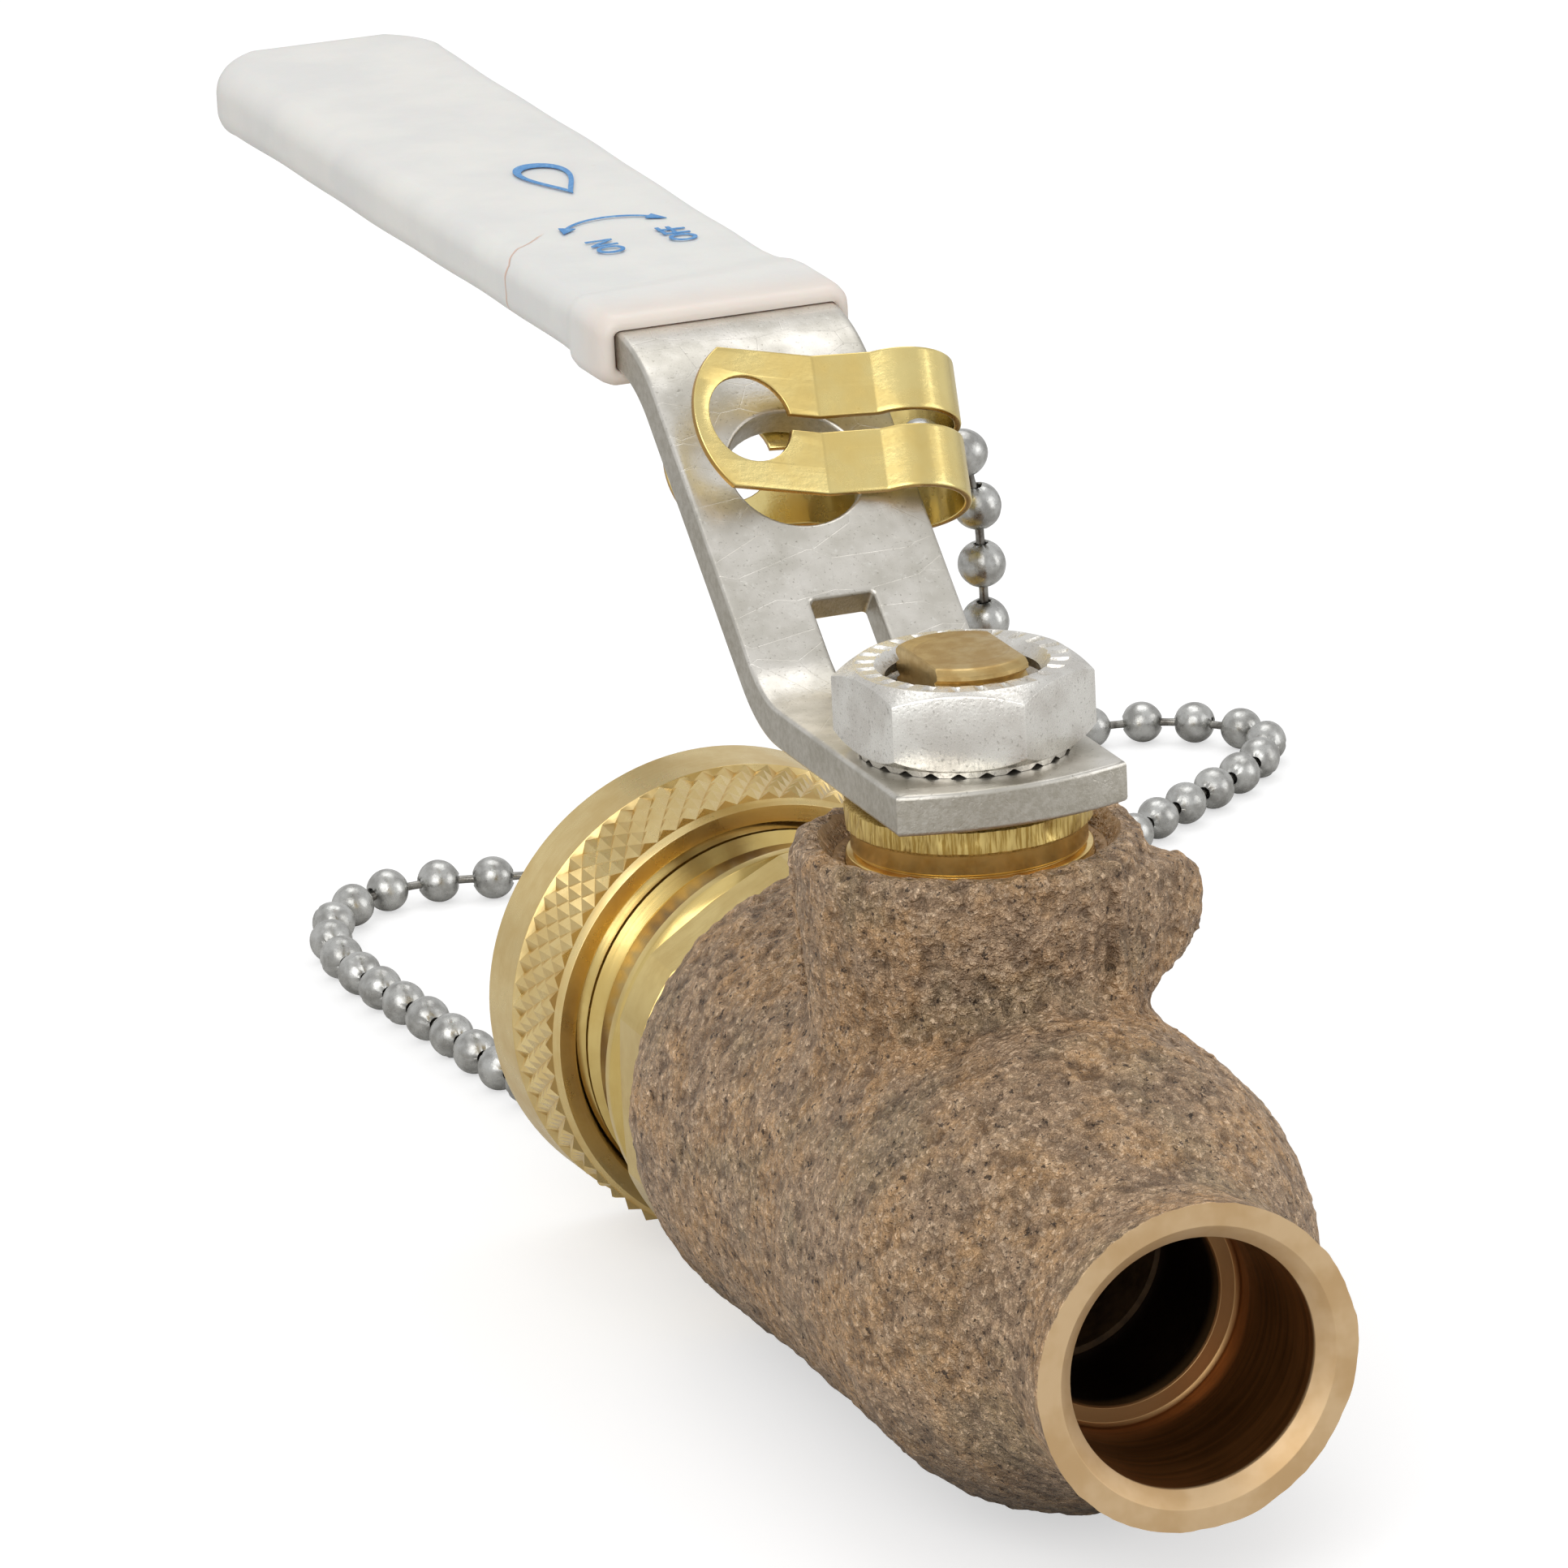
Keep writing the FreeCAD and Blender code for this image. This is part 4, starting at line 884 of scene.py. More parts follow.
def retainer_piece():
    """Hexagonal adapter with a turned collar, a relief groove and a male hose thread."""
    columns = 360
    hex_start, hex_end = BARREL_END_Y + 0.05, BARREL_END_Y + HEX_LENGTH
    relief_y, thread_y, end_y = hex_end + 2.0, hex_end + 5.5, RETAINER_HIGH.y
    sides = np.minimum(hex_radius(HEX_ACROSS_FLATS, columns), HEX_CORNER_R)
    chamfer = (sides - 13.7) * 0.55
    hexagon = [
        (hex_start, sides * 0 + 13.3), (hex_start, sides - 0.35), (hex_start + 0.3, sides),
        (hex_end - 0.35 - chamfer, sides), (hex_end - 0.22 - chamfer, sides - 0.06),
        (hex_end - 0.05, sides * 0 + 13.75), (hex_end, sides * 0 + 13.6)]
    collar = soften([
        (hex_end, 13.6, 0), (hex_end + 0.12, 13.75, 0), (hex_end + 0.75, 14.28, 0.25),
        (relief_y - 0.5, COLLAR_R, 0.15), (relief_y - 0.1, COLLAR_R - 0.4, 0.12), (relief_y, RELIEF_R, 0.1),
        (thread_y - 0.1, RELIEF_R, 0.2), (thread_y + 0.2, THREAD_ROOT_R, 0.1),
        (end_y - 0.5, THREAD_ROOT_R, 0.1), (end_y, THREAD_ROOT_R - 0.5, 0.1), (end_y, 9.6, 0.1),
        (end_y - 0.2, 9.4, 0.05), (28.0, 9.4, 0.2), (28.0, WATERWAY_R, 0.1), (13.6, WATERWAY_R, 0.1),
        (13.6, 12.2, 0), (14.3, 12.88, 0), (hex_start, 12.88, 0)], closed=False)
    body = turned(hexagon + collar[1:], columns)
    ridge = thread_ridge(THREAD_ROOT_R, THREAD_CREST_R, thread_y + 0.6, end_y - 0.9, 0.0)
    piece = make_piece("hose_retainer_turned", joined([body, ridge]), 14)
    # the groove band on the retainer is a painted dark reflection
    brass = turned_brass("retainer_brass", linear(236, 210, 138), linear(212, 180, 104), 0.2, marks=0.003,
                         groove=(relief_y, thread_y))
    return dress(piece, brass, "valve_body", ["hose_retainer"])


def rivet_piece():
    """Hollow rivet with a rolled head outside and a flared tail inside the cap."""
    tail_y, head_y = RIVET_LOW.y, RIVET_HIGH.y
    outline = soften([
        (tail_y, 0.45, 0.1), (tail_y, 2.3, 0.15), (tail_y + 0.75, 2.6, 0.08), (tail_y + 0.75, 1.58, 0),
        (head_y - 0.98, 1.58, 0), (head_y - 0.98, 2.85, 0.12), (head_y - 0.4, 2.5, 0.35), (head_y, 1.3, 0.3),
        (head_y, 0.75, 0.12), (head_y - 0.35, 0.45, 0.12)])
    piece = make_piece("chain_rivet_rolled", turned(outline, 72))
    steel = chain_steel("rivet_steel", linear(200, 198, 192), linear(150, 146, 138))
    return dress(piece, steel, "cap_swivel", ["chain_rivet"])


# --- stem stack -------------------------------------------------------------------
def gland_piece():
    """Packing gland with a roughly serrated head and a polished neck below it."""
    columns = 360
    angle = np.arange(columns) * TAU / columns
    ring = np.stack([np.cos(angle) * GLAND_R, np.sin(angle) * GLAND_R, angle * 0], 1)
    chip = np.exp(-((angle - math.radians(290)) / 0.09) ** 2)
    top = GLAND_HIGH.z
    serrated = []
    for share in np.linspace(0, 1, 6):
        level = top - 0.12 - 1.35 * share
        slip = ring + np.array([0, 0, level * 0.35])
        rough = 0.5 + 0.5 * noise(slip, 0.34, 41) + 0.35 * noise(slip * [1, 1, 3], 0.8, 42)
        cut = 0.16 * np.clip(rough, 0, 1.2) + 0.3 * chip * (0.4 + 0.6 * math.sin(math.pi * share))
        serrated.append((level, GLAND_R - cut))
    outline_in = [(GLAND_LOW.z, 4.76), (GLAND_LOW.z, GLAND_R)]
    rest = soften([
        (GLAND_LOW.z, GLAND_R, 0), (22.6, GLAND_R, 0.1), (23.25, 7.75, 0.1), (23.3, GLAND_NECK_R, 0.04),
        (23.48, GLAND_NECK_R, 0.04), (23.52, 7.45, 0.1), (top - 1.6, 7.42, 0.1),
        (top - 1.5, GLAND_R - 0.15, 0)], closed=False)
    profile = outline_in + rest[1:] + serrated[::-1] + [(top, GLAND_R - 0.35), (top, 4.9), (top - 0.15, 4.76)]
    piece = make_piece("gland_screw_serrated", turned(profile, columns, axis="Z"), 35)
    return dress(piece, gland_brass(), "valve_body", ["gland_screw"])


def flatted_row(level, radius, half_flat, columns=144):
    """Points round a shaft whose two sides are cut flat at half_flat from its axis."""
    half_flat = min(half_flat, radius * 0.999)
    edge = math.asin(half_flat / radius)
    quarter = columns // 4
    front = np.linspace(-edge, edge, quarter, endpoint=False)
    side = np.linspace(edge, math.pi - edge, quarter, endpoint=False)
    angles = np.concatenate([front, side, front + math.pi, side + math.pi])
    x = np.clip(radius * np.sin(angles), -half_flat, half_flat)
    y = -radius * np.cos(angles)
    return np.stack([x, y, np.full_like(x, level)], 1)


def stem_piece():
    """Stem with its tang, collar, two milled flats and a thread worn flat on top."""
    flats_z = FLAT_TOP_Z - LEVER_T - 0.02
    top = STEM_HIGH.z
    pitch = 1.0
    rows = [flatted_row(9.9, 5.6, 9), flatted_row(11.9, 5.6, 9), flatted_row(11.9, STEM_R, 9),
            flatted_row(flats_z, STEM_R, 9), flatted_row(flats_z, STEM_R, STEM_FLAT)]
    level = flats_z + 1.5
    while level < top - 0.9:
        for share, depth in ((0.0, 0.04), (0.2, 0.04), (0.5, 0.42), (0.8, 0.04)):
            rows.append(flatted_row(level + share * pitch, STEM_R - depth, STEM_FLAT))
        level += pitch
    for drop, inset, flat_inset in ((0.4, 0.05, 0), (0.12, 0.32, 0.04), (0.02, 0.5, 0.14), (0.0, 0.7, 0.3)):
        rows.append(flatted_row(top - drop, STEM_R - inset, STEM_FLAT - flat_inset))
    last = rows[-1]
    rows += [last * [share, share, 1] for share in (0.6, 0.12)]
    shaft = wrapped_shell(rows, closed=False)
    tang = []
    for level, shrink in ((STEM_LOW.z, 0.25), (STEM_LOW.z + 0.25, 0.0), (10.4, 0.0)):
        half_x, half_y, corner = 4.2 - shrink, 1.95 - shrink, 0.3
        outline = soften([(half_x, half_y, corner), (-half_x, half_y, corner), (-half_x, -half_y, corner),
                          (half_x, -half_y, corner)])
        tang.append([(u, v, level) for u, v in outline])
    piece = make_piece("stem_milled", joined([shaft, wrapped_shell(tang, closed=False)]), 28)
    return dress(piece, milled_stem(), "handle", ["stem"])


def nut_piece():
    """Jam nut: hexagon, curved chamfers and rolled teeth on both bearing faces."""
    columns = 720
    sides = hex_radius(NUT_ACROSS_FLATS, columns, NUT_TURN)
    angle = np.arange(columns) * TAU / columns
    corner_r, flat_r = NUT_ACROSS_FLATS / math.sqrt(3), 7.0
    low, top = NUT_LOW.z, NUT_HIGH.z
    rise = np.clip((sides - flat_r) / (corner_r - flat_r), 0, 1)
    saw = np.mod(angle * NUT_TEETH / TAU, 1.0)
    nick = np.clip(saw / 0.42, 0, 1) * (saw < 0.44)
    depth = 0.35 * nick * (0.75 + 0.25 * np.sin(angle * 3 + 1))
    gap = 0.26 * np.clip(1.15 - np.abs(np.mod(saw + 0.2, 1.0) - 0.5) / 0.26, 0, 1)
    chamfer = top - 0.12 - 0.62 * rise ** 1.15
    foot = low + 0.46 + 0.75 * rise ** 1.3
    flat = sides * 0
    bore = []
    level = low + 0.5
    while level < top - 1.5:
        bore += [(level, 4.8), (level + 0.25, 4.8), (level + 0.62, 5.15)]
        level += 1.0
    profile = [(low, flat + 5.2), (low + 0.3, flat + 4.85)] + [(z, flat + r) for z, r in bore] + [
        (top - 0.75, flat + 4.85), (top - 0.08, flat + 5.42), (top - 0.01 - depth * 0.3, flat + 5.5),
        (top - depth * 0.9, flat + 5.75), (top - depth, flat + 6.25), (top - depth * 0.25, flat + 6.62),
        (top, flat + 6.72), (top, flat + 6.8), (chamfer + 0.02, sides - 0.14),
        (chamfer - 0.06, sides - 0.04), (chamfer - 0.16, sides), (foot + 0.14, sides),
        (foot + 0.04, sides - 0.04), (foot - 0.03, sides - 0.14), (low + 0.42, flat + 6.8),
        (low + 0.36, flat + 6.72), (low + gap, flat + 6.68), (low + gap, flat + 5.6)]
    piece = make_piece("lever_nut_serrated", turned(profile, columns, axis="Z"), 28)
    return dress(piece, zinc_plate(), "handle", ["lever_nut"])


# --- bent strips ------------------------------------------------------------------
class BentPath:
    """Middle line of a bent strip: straight runs joined by arcs, measured by length."""

    def __init__(self, corners, radii):
        self.pieces = []
        here = Vector(corners[0])
        travelled = 0.0
        for i in range(1, len(corners)):
            corner = Vector(corners[i])
            direction = (corner - here).normalized()
            if i < len(corners) - 1:
                ahead = (Vector(corners[i + 1]) - corner).normalized()
                bend = math.atan2(direction.x * ahead.y - direction.y * ahead.x, direction.dot(ahead))
                setback = radii[i - 1] * math.tan(abs(bend) / 2)
            else:
                bend, setback = 0.0, 0.0
            length = (corner - here).length - setback
            self.pieces.append((travelled, travelled + length, here.copy(), direction, 0.0, 0.0))
            travelled += length
            here = here + direction * length
            if bend:
                radius = radii[i - 1]
                arc = radius * abs(bend)
                self.pieces.append((travelled, travelled + arc, here.copy(), direction, radius, bend))
                travelled += arc
                normal = Vector((-direction.y, direction.x)) * math.copysign(1, bend)
                centre = here + normal * radius
                here = centre + Matrix.Rotation(bend, 2) @ (here - centre)
        self.length = travelled

    def at(self, along):
        """(point, direction) at a length along the path."""
        for start, end, base, direction, radius, bend in self.pieces:
            if along <= end or end == self.length:
                if not bend:
                    return base + direction * (along - start), direction
                angle = math.copysign((along - start) / radius, bend)
                normal = Vector((-direction.y, direction.x)) * math.copysign(1, bend)
                centre = base + normal * radius
                turn = Matrix.Rotation(angle, 2)
                return centre + turn @ (base - centre), turn @ direction

    def cuts(self, step):
        """Lengths at which a flat strip is divided so that it can bend."""
        found = []
        for start, end, _, _, _, bend in self.pieces:
            if bend:
                count = max(2, math.ceil((end - start) / step))
                found += [start + (end - start) * k / count for k in range(count + 1)]
        return found


def outline_curve(name, outlines):
    """Filled flat curve: the first outline is its rim, the rest are holes."""
    curve = bpy.data.curves.new(name, "CURVE")
    curve.dimensions = "2D"
    curve.fill_mode = "BOTH"
    for outline in outlines:
        spline = curve.splines.new("POLY")
        spline.points.add(len(outline) - 1)
        for point, (u, v) in zip(spline.points, outline):
            point.co = (u, v, 0, 1)
        spline.use_cyclic_u = True
    return curve


def curve_mesh(name, curve):
    holder = placed(name, curve)
    mesh = evaluated(holder)
    bpy.data.objects.remove(holder)
    return mesh


def flat_plate(outlines, thickness, edge):
    """Flat plate with rounded edges."""
    curve = outline_curve("plate", outlines)
    curve.extrude = thickness / 2 - edge
    curve.bevel_depth = edge
    curve.bevel_resolution = 2
    curve.offset = -edge
    return curve_mesh("plate", curve)


def bent_strip(name, outlines, thickness, edge, path, place, step, extra_cuts=()):
    """Flat plate divided at the bends and laid along the path; place puts (along, across, up) in 3-D."""
    mesh = flat_plate(outlines, thickness, edge)
    work = bmesh.new()
    work.from_mesh(mesh)
    bmesh.ops.remove_doubles(work, verts=work.verts, dist=1e-4)
    for along in list(path.cuts(step)) + list(extra_cuts):
        geometry = work.verts[:] + work.edges[:] + work.faces[:]
        bmesh.ops.bisect_plane(work, geom=geometry, plane_co=(along, 0, 0), plane_no=(1, 0, 0), dist=1e-4)
    work.normal_update()
    edge_layer = work.verts.layers.float.new("cut_edge")
    limit = thickness / 2 - edge * 0.6
    for vert in work.verts:
        vert[edge_layer] = 1.0 if abs(vert.co.z) < limit else 0.0
    for vert in work.verts:
        middle, direction = path.at(vert.co.x)
        normal = Vector((-direction.y, direction.x))
        spot = middle + normal * vert.co.z
        vert.co = place(spot.x, vert.co.y, spot.y) * MM
    bmesh.ops.recalc_face_normals(work, faces=work.faces)
    work.to_mesh(mesh)
    work.free()
    mesh.name = name
    return shaded(placed(name, mesh), 40)


def arc(centre_u, centre_v, radius, start, end, count):
    """Points on an arc, angles in degrees."""
    angles = np.radians(np.linspace(start, end, count))
    return [(centre_u + radius * math.cos(a), centre_v + radius * math.sin(a)) for a in angles]


def lever_path():
    """Middle line of the lever strip: flat, slope and hand end, with its start along Y."""
    middle_z = FLAT_TOP_Z - LEVER_T / 2
    run = RISE / math.tan(SLOPE)
    start = LEVER_LOW.y - 1
    hand_z = middle_z + RISE
    corners = [(start, middle_z), (BEND_Y, middle_z), (BEND_Y + run, hand_z), (LEVER_HIGH.y, hand_z)]
    return BentPath(corners, [BEND_R1, BEND_R2]), start


def lever_piece():
    """Stamped stainless lever with its round hole, window and double-D stem hole."""
    path, start = lever_path()
    setback = BEND_R1 * math.tan(SLOPE / 2)
    slope_start = path.pieces[1][1]
    miter = LEVER_T / 2 * math.tan(SLOPE / 2)

    def up_slope(distance):
        """Length along the path of a point this far up the slope from the first bend."""
        past = distance + miter - setback
        if past < 0:
            past = -BEND_R1 * math.asin(-past / BEND_R1)
        return slope_start + past

    nose, shoulder = -start + LEVER_LOW.y, -start + LEVER_LOW.y + 1.5
    half = LEVER_HALF
    nose_r = (half ** 2 + 1.5 ** 2) / (2 * 1.5)
    spread = math.degrees(math.asin(half / nose_r))
    rim = arc(nose + nose_r, 0, nose_r, 180 + spread, 180 - spread, 21)
    rim[0], rim[-1] = (shoulder, -half), (shoulder, half)
    rim = rim + [(path.length, half), (path.length, -half)]
    hole = arc(up_slope(HOLE_ALONG), 0, HOLE_R, 0, 352.5, 48)
    low, high = up_slope(0.5), up_slope(0.5 + 6.2)
    window = soften([(low, -2.15, 0.25), (high, -2.15, 0.25), (high, 2.15, 0.25), (low, 2.15, 0.25)])
    stem_u = -start
    edge_angle = math.degrees(math.asin((STEM_FLAT + 0.06) / (STEM_R + 0.06)))
    stem_hole = arc(stem_u, 0, STEM_R + 0.06, -edge_angle, edge_angle, 13)
    stem_hole += arc(stem_u, 0, STEM_R + 0.06, 180 - edge_angle, 180 + edge_angle, 13)

    def place(along, across, up):
        return Vector((-across, along, up))

    outlines = [rim, hole, window, stem_hole]
    extra_cuts = (up_slope(3), up_slope(10), up_slope(22))
    strip = bent_strip("lever_strip", outlines, LEVER_T, 0.3, path, place, 0.5, extra_cuts)
    steel = stainless()
    dress(strip, steel, "handle", ["lever"])

    tab_t = LEVER_T - 0.2
    tab_y = BEND_Y - LEVER_T / 2 - 0.6
    middle_z = FLAT_TOP_Z - LEVER_T / 2
    tab_path = BentPath([(tab_y - 4.5, middle_z), (tab_y, middle_z), (tab_y, LEVER_LOW.z)], [1.6])
    tab_half = 2.1
    end = tab_path.length
    tab_outline = soften([(0, -tab_half, 0), (end, -tab_half, 0.5), (end, tab_half, 0.5), (0, tab_half, 0)])
    tab = bent_strip("lever_stop_tab", [tab_outline], tab_t, 0.25, tab_path, place, 0.4)
    return strip, dress(tab, steel, "handle")


def clip_piece():
    """Spring clip: one strip folded round the lever's edge, slit from eye to eye."""
    meet = math.radians(128)
    half_gap_end = CREASE_HALF_GAP + 2.0
    crease = Vector((-LEAF_CREASE, CREASE_HALF_GAP))
    end = Vector((-LEAF_END, half_gap_end))
    lower_end = Vector((-LEAF_END, 0.75 - half_gap_end))
    bow_steps = 24
    bow = [(BOW_R * math.cos(a), BOW_R * math.sin(a)) for a in np.linspace(meet, -meet, bow_steps)]
    mirrored = [(crease.x, -crease.y), tuple(lower_end)]
    corners = [tuple(end), tuple(crease)] + bow + mirrored
    radii = [0.9, 0.7] + [2.0] * (bow_steps - 2) + [0.7, 0.9]
    path = BentPath(corners, radii)
    leaf = (end - crease).length
    eye = leaf * (LEAF_END - LEAF_EYE) / (LEAF_END - LEAF_CREASE)
    total = path.length
    plan_r = LEAF_END - LEAF_EYE + 2.4
    spread = math.degrees(math.asin(STRIP_HALF / plan_r))
    rim = arc(plan_r, 0, plan_r, 180 + spread, 180 - spread, 25)
    rim += arc(total - plan_r, 0, plan_r, spread, -spread, 25)
    slit = math.degrees(math.asin(SLIT_HALF / EYE_R))
    hole = arc(eye, 0, EYE_R, slit, 360 - slit, 40) + arc(total - eye, 0, EYE_R, 180 + slit, 540 - slit, 40)

    turn = Matrix.Rotation(CLIP_TILT, 3, "X") @ Matrix.Rotation(-CLIP_ROLL, 3, "Z")

    def place(along, across, up):
        return BOW_CENTRE + turn @ Vector((along, -across, up))

    leaf_cuts = (leaf * 0.5, total - leaf * 0.5)
    piece = bent_strip("chain_clip_strip", [rim, hole], STRIP_T, 0.1, path, place, 0.25, leaf_cuts)
    return dress(piece, sheet_brass(), "handle", ["chain_clip"])


# --- grip -------------------------------------------------------------------------
def rounded_section(half_x, low, high, corner, count=16):
    """Rounded rectangle in the XZ plane, from its bottom left corner."""
    points = []
    centres = [(half_x - corner, high - corner, 0), (-half_x + corner, high - corner, 90),
               (-half_x + corner, low + corner, 180), (half_x - corner, low + corner, 270)]
    for cx, cz, first in centres:
        points += arc(cx, cz, corner, first, first + 90, count)
    return points


def grip_wall(y):
    """Skin thickness of the sleeve past its lip."""
    start = GRIP_LOW.y + 10
    return 0.8 + 0.68 * max(0.0, (y - start) / (GRIP_HIGH.y - start))


def grip_sag(y):
    """Slow waviness that dipping leaves along the sleeve."""
    return 0.06 * math.sin(y * 0.16) + 0.04 * math.sin(y * 0.43 + 1)


def grip_crown(x, half_x):
    """Slight doming of the sleeve's upper face."""
    return 0.22 * (1 - (x / half_x) ** 2)


def grip_top(x, y):
    """Height of the sleeve's upper face."""
    wall = grip_wall(y)
    return FLAT_TOP_Z + RISE + wall - 0.2 + grip_sag(y) * 0.5 + grip_crown(x, LEVER_HALF + wall - 0.06)


def grip_piece():
    """Dipped sleeve: slanted lip at the mouth, slow swell to the tip, rounded end."""
    mouth, tip = GRIP_LOW.y, GRIP_HIGH.y
    hand_top = FLAT_TOP_Z + RISE
    hand_low = hand_top - LEVER_T
    end_r = 5.2
    rows = []

    def row(y, half_x, low, high, corner, slant=0.0):
        sag = grip_sag(y)
        section = rounded_section(half_x + sag * 0.6, low - sag * 0.4, high + sag * 0.5, corner)
        for i, (x, z) in enumerate(section):
            crown = grip_crown(x, half_x) if z > hand_top + 0.2 else 0
            section[i] = (x, y + slant * (x / half_x + 1), z + crown)
        rows.append(section)

    pocket = rounded_section(LEVER_HALF + 0.02, hand_low - 0.02, hand_top + 0.02, 0.3)
    for y in (LEVER_HIGH.y + 0.02, mouth + 3, mouth + 0.5):
        rows.append([(x, y, z) for x, z in pocket])
    for y, wall in ((0.1, 0.2), (0.0, 0.42), (0.05, 0.7), (0.3, 0.96), (0.8, 1.12), (1.6, 1.18), (3.2, 1.18)):
        row(mouth + y, LEVER_HALF + wall, hand_low - wall, hand_top + wall - 0.15, min(1.3, 0.3 + wall))
    for y, wall in ((5.4, 1.16), (6.3, 1.08), (7.1, 0.86), (7.8, 0.76)):
        slant = 2.0 * (y - 3.2) / 4.6
        row(mouth + y, LEVER_HALF + wall, hand_low - wall, hand_top + wall - 0.15, 1.25, slant)
    swell_start = mouth + 10
    for y in np.linspace(swell_start, tip - end_r, 26):
        wall = grip_wall(y)
        slant = 2.0 * max(0.0, 1 - (y - swell_start) / 12)
        row(y, LEVER_HALF + wall - 0.06, hand_low - wall, hand_top + wall - 0.2, 0.5 + 1.15 * wall, slant)
    for angle in np.linspace(8, 90, 12):
        turn = math.radians(angle)
        inset = end_r * (1 - math.cos(turn))
        edge = 1.3 * max(0.0, (math.sin(turn) - 0.8) / 0.2) ** 2 if angle > 53 else 0.0
        y = tip - end_r + end_r * math.sin(turn)
        half_x = LEVER_HALF + 1.42 - inset * 0.98
        low, high = hand_low - 1.48 + edge, hand_top + 1.28 - edge
        row(y, half_x, low, high, min(2.1, (high - low) / 2 - 0.05))
    piece = make_piece("lever_grip_sleeve", wrapped_shell(rows, closed=False), 60, weighted=False)
    return dress(piece, dipped_vinyl(), "handle", ["lever_grip"])


# --- printed marks ----------------------------------------------------------------
INK_T = 0.03


def printed(name, curve, place):
    """Closed thin mesh from a flat curve, laid on the sleeve by place(u, v) -> (x, y)."""
    curve.extrude = INK_T
    mesh = curve_mesh(name, curve)
    for vert in mesh.vertices:
        x, y = place(vert.co.x, vert.co.y)
        vert.co = Vector((x, y, grip_top(x, y) + INK_T * 0.5 + vert.co.z)) * MM
    return mesh


def word(text, height, x, y):
    """A word that reads towards the tip, its foot at x and its first letter from y."""
    curve = bpy.data.curves.new(text, "FONT")
    curve.body = text
    curve.size = height / 0.72
    curve.offset = 0.02
    return printed(text, curve, lambda u, v: (x - v, y + 0.86 * u))


def turn_arrow():
    """Curved arrow with a head on each end, for the quarter turn of the lever."""
    centre_x, centre_y, radius, width = 1.0, 61.9, 4.25, 0.24
    wing = 0.62
    outline = []
    for side, first, last, tip in ((1, 50, 142, 162), (-1, 142, 50, 30)):
        outline += arc(centre_x, centre_y, radius + side * width / 2, first, last, 24)
        for reach, angle in ((side * wing, last), (0, tip), (-side * wing, last)):
            outline += arc(centre_x, centre_y, radius + reach, angle, angle, 1)
    return printed("turn_arrow", outline_curve("turn_arrow", [outline]), lambda u, v: (u, v))


def water_drop():
    """Plain drop outline, a generic sign for water."""
    def drop(scale):
        return [(1.3 + scale * 2.7 * math.sin(t) * math.sin(t / 2) ** 1.5, 78.0 - scale * 4.6 * math.cos(t))
                for t in np.linspace(0, TAU, 61)[:-1]]

    return printed("water_drop", outline_curve("water_drop", [drop(1.0), drop(0.78)]), lambda u, v: (u, v))


def print_piece():
    """ON, OFF, the turn arrow and a drop, pad-printed on the sleeve."""
    piece = make_piece("grip_print", (np.zeros((0, 3)), []), weighted=False)
    work = bmesh.new()
    for mesh in (word("ON", 1.95, -0.72, 56.7), word("OFF", 1.95, 4.75, 57.5), turn_arrow(), water_drop()):
        work.from_mesh(mesh)
    bmesh.ops.remove_doubles(work, verts=work.verts, dist=1e-7)
    bmesh.ops.recalc_face_normals(work, faces=work.faces)
    work.to_mesh(piece.data)
    work.free()
    return dress(piece, print_ink(), "handle")


# --- chain ------------------------------------------------------------------------
def loose_centres(node):
    """Centre of each separate solid in a CAD node, in millimetres."""
    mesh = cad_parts[node].data
    points = mesh_points(mesh) - np.array(BALL_CENTRE)
    keys, index = np.unique(np.round(points, 3), axis=0, return_inverse=True)
    index = index.ravel()
    edges = np.zeros(len(mesh.edges) * 2, np.int64)
    mesh.edges.foreach_get("vertices", edges)
    edges = index[edges].reshape(-1, 2)
    label = np.arange(len(keys))
    while True:
        low = np.minimum(label[edges[:, 0]], label[edges[:, 1]])
        before = label.copy()
        np.minimum.at(label, edges[:, 0], low)
        np.minimum.at(label, edges[:, 1], low)
        label = label[label]
        if np.array_equal(before, label):
            break
    groups = [keys[label == value] for value in np.unique(label)]
    return [(g.min(0) + g.max(0)) / 2 for g in groups if np.ptp(g, axis=0).max() > 2.5]


def chain_centres():
    """Bead centres in order, from the bow of the clip to the cap."""
    loose = []
    for run in ("handle", "floor", "cap"):
        loose += loose_centres("chain_beads_" + run)
    here = np.array(BOW_CENTRE)
    ordered = []
    while loose:
        nearest = min(range(len(loose)), key=lambda i: np.linalg.norm(loose[i] - here))
        here = loose.pop(nearest)
        ordered.append(here)
    return ordered


def aligned(points, centre, direction, roll):
    """Points modelled along +X, moved to a centre and turned to a direction."""
    turn = Vector(direction).to_track_quat("X", "Z").to_matrix() @ Matrix.Rotation(roll, 3, "X")
    return np.asarray(points) @ np.array(turn).T + np.array(centre)


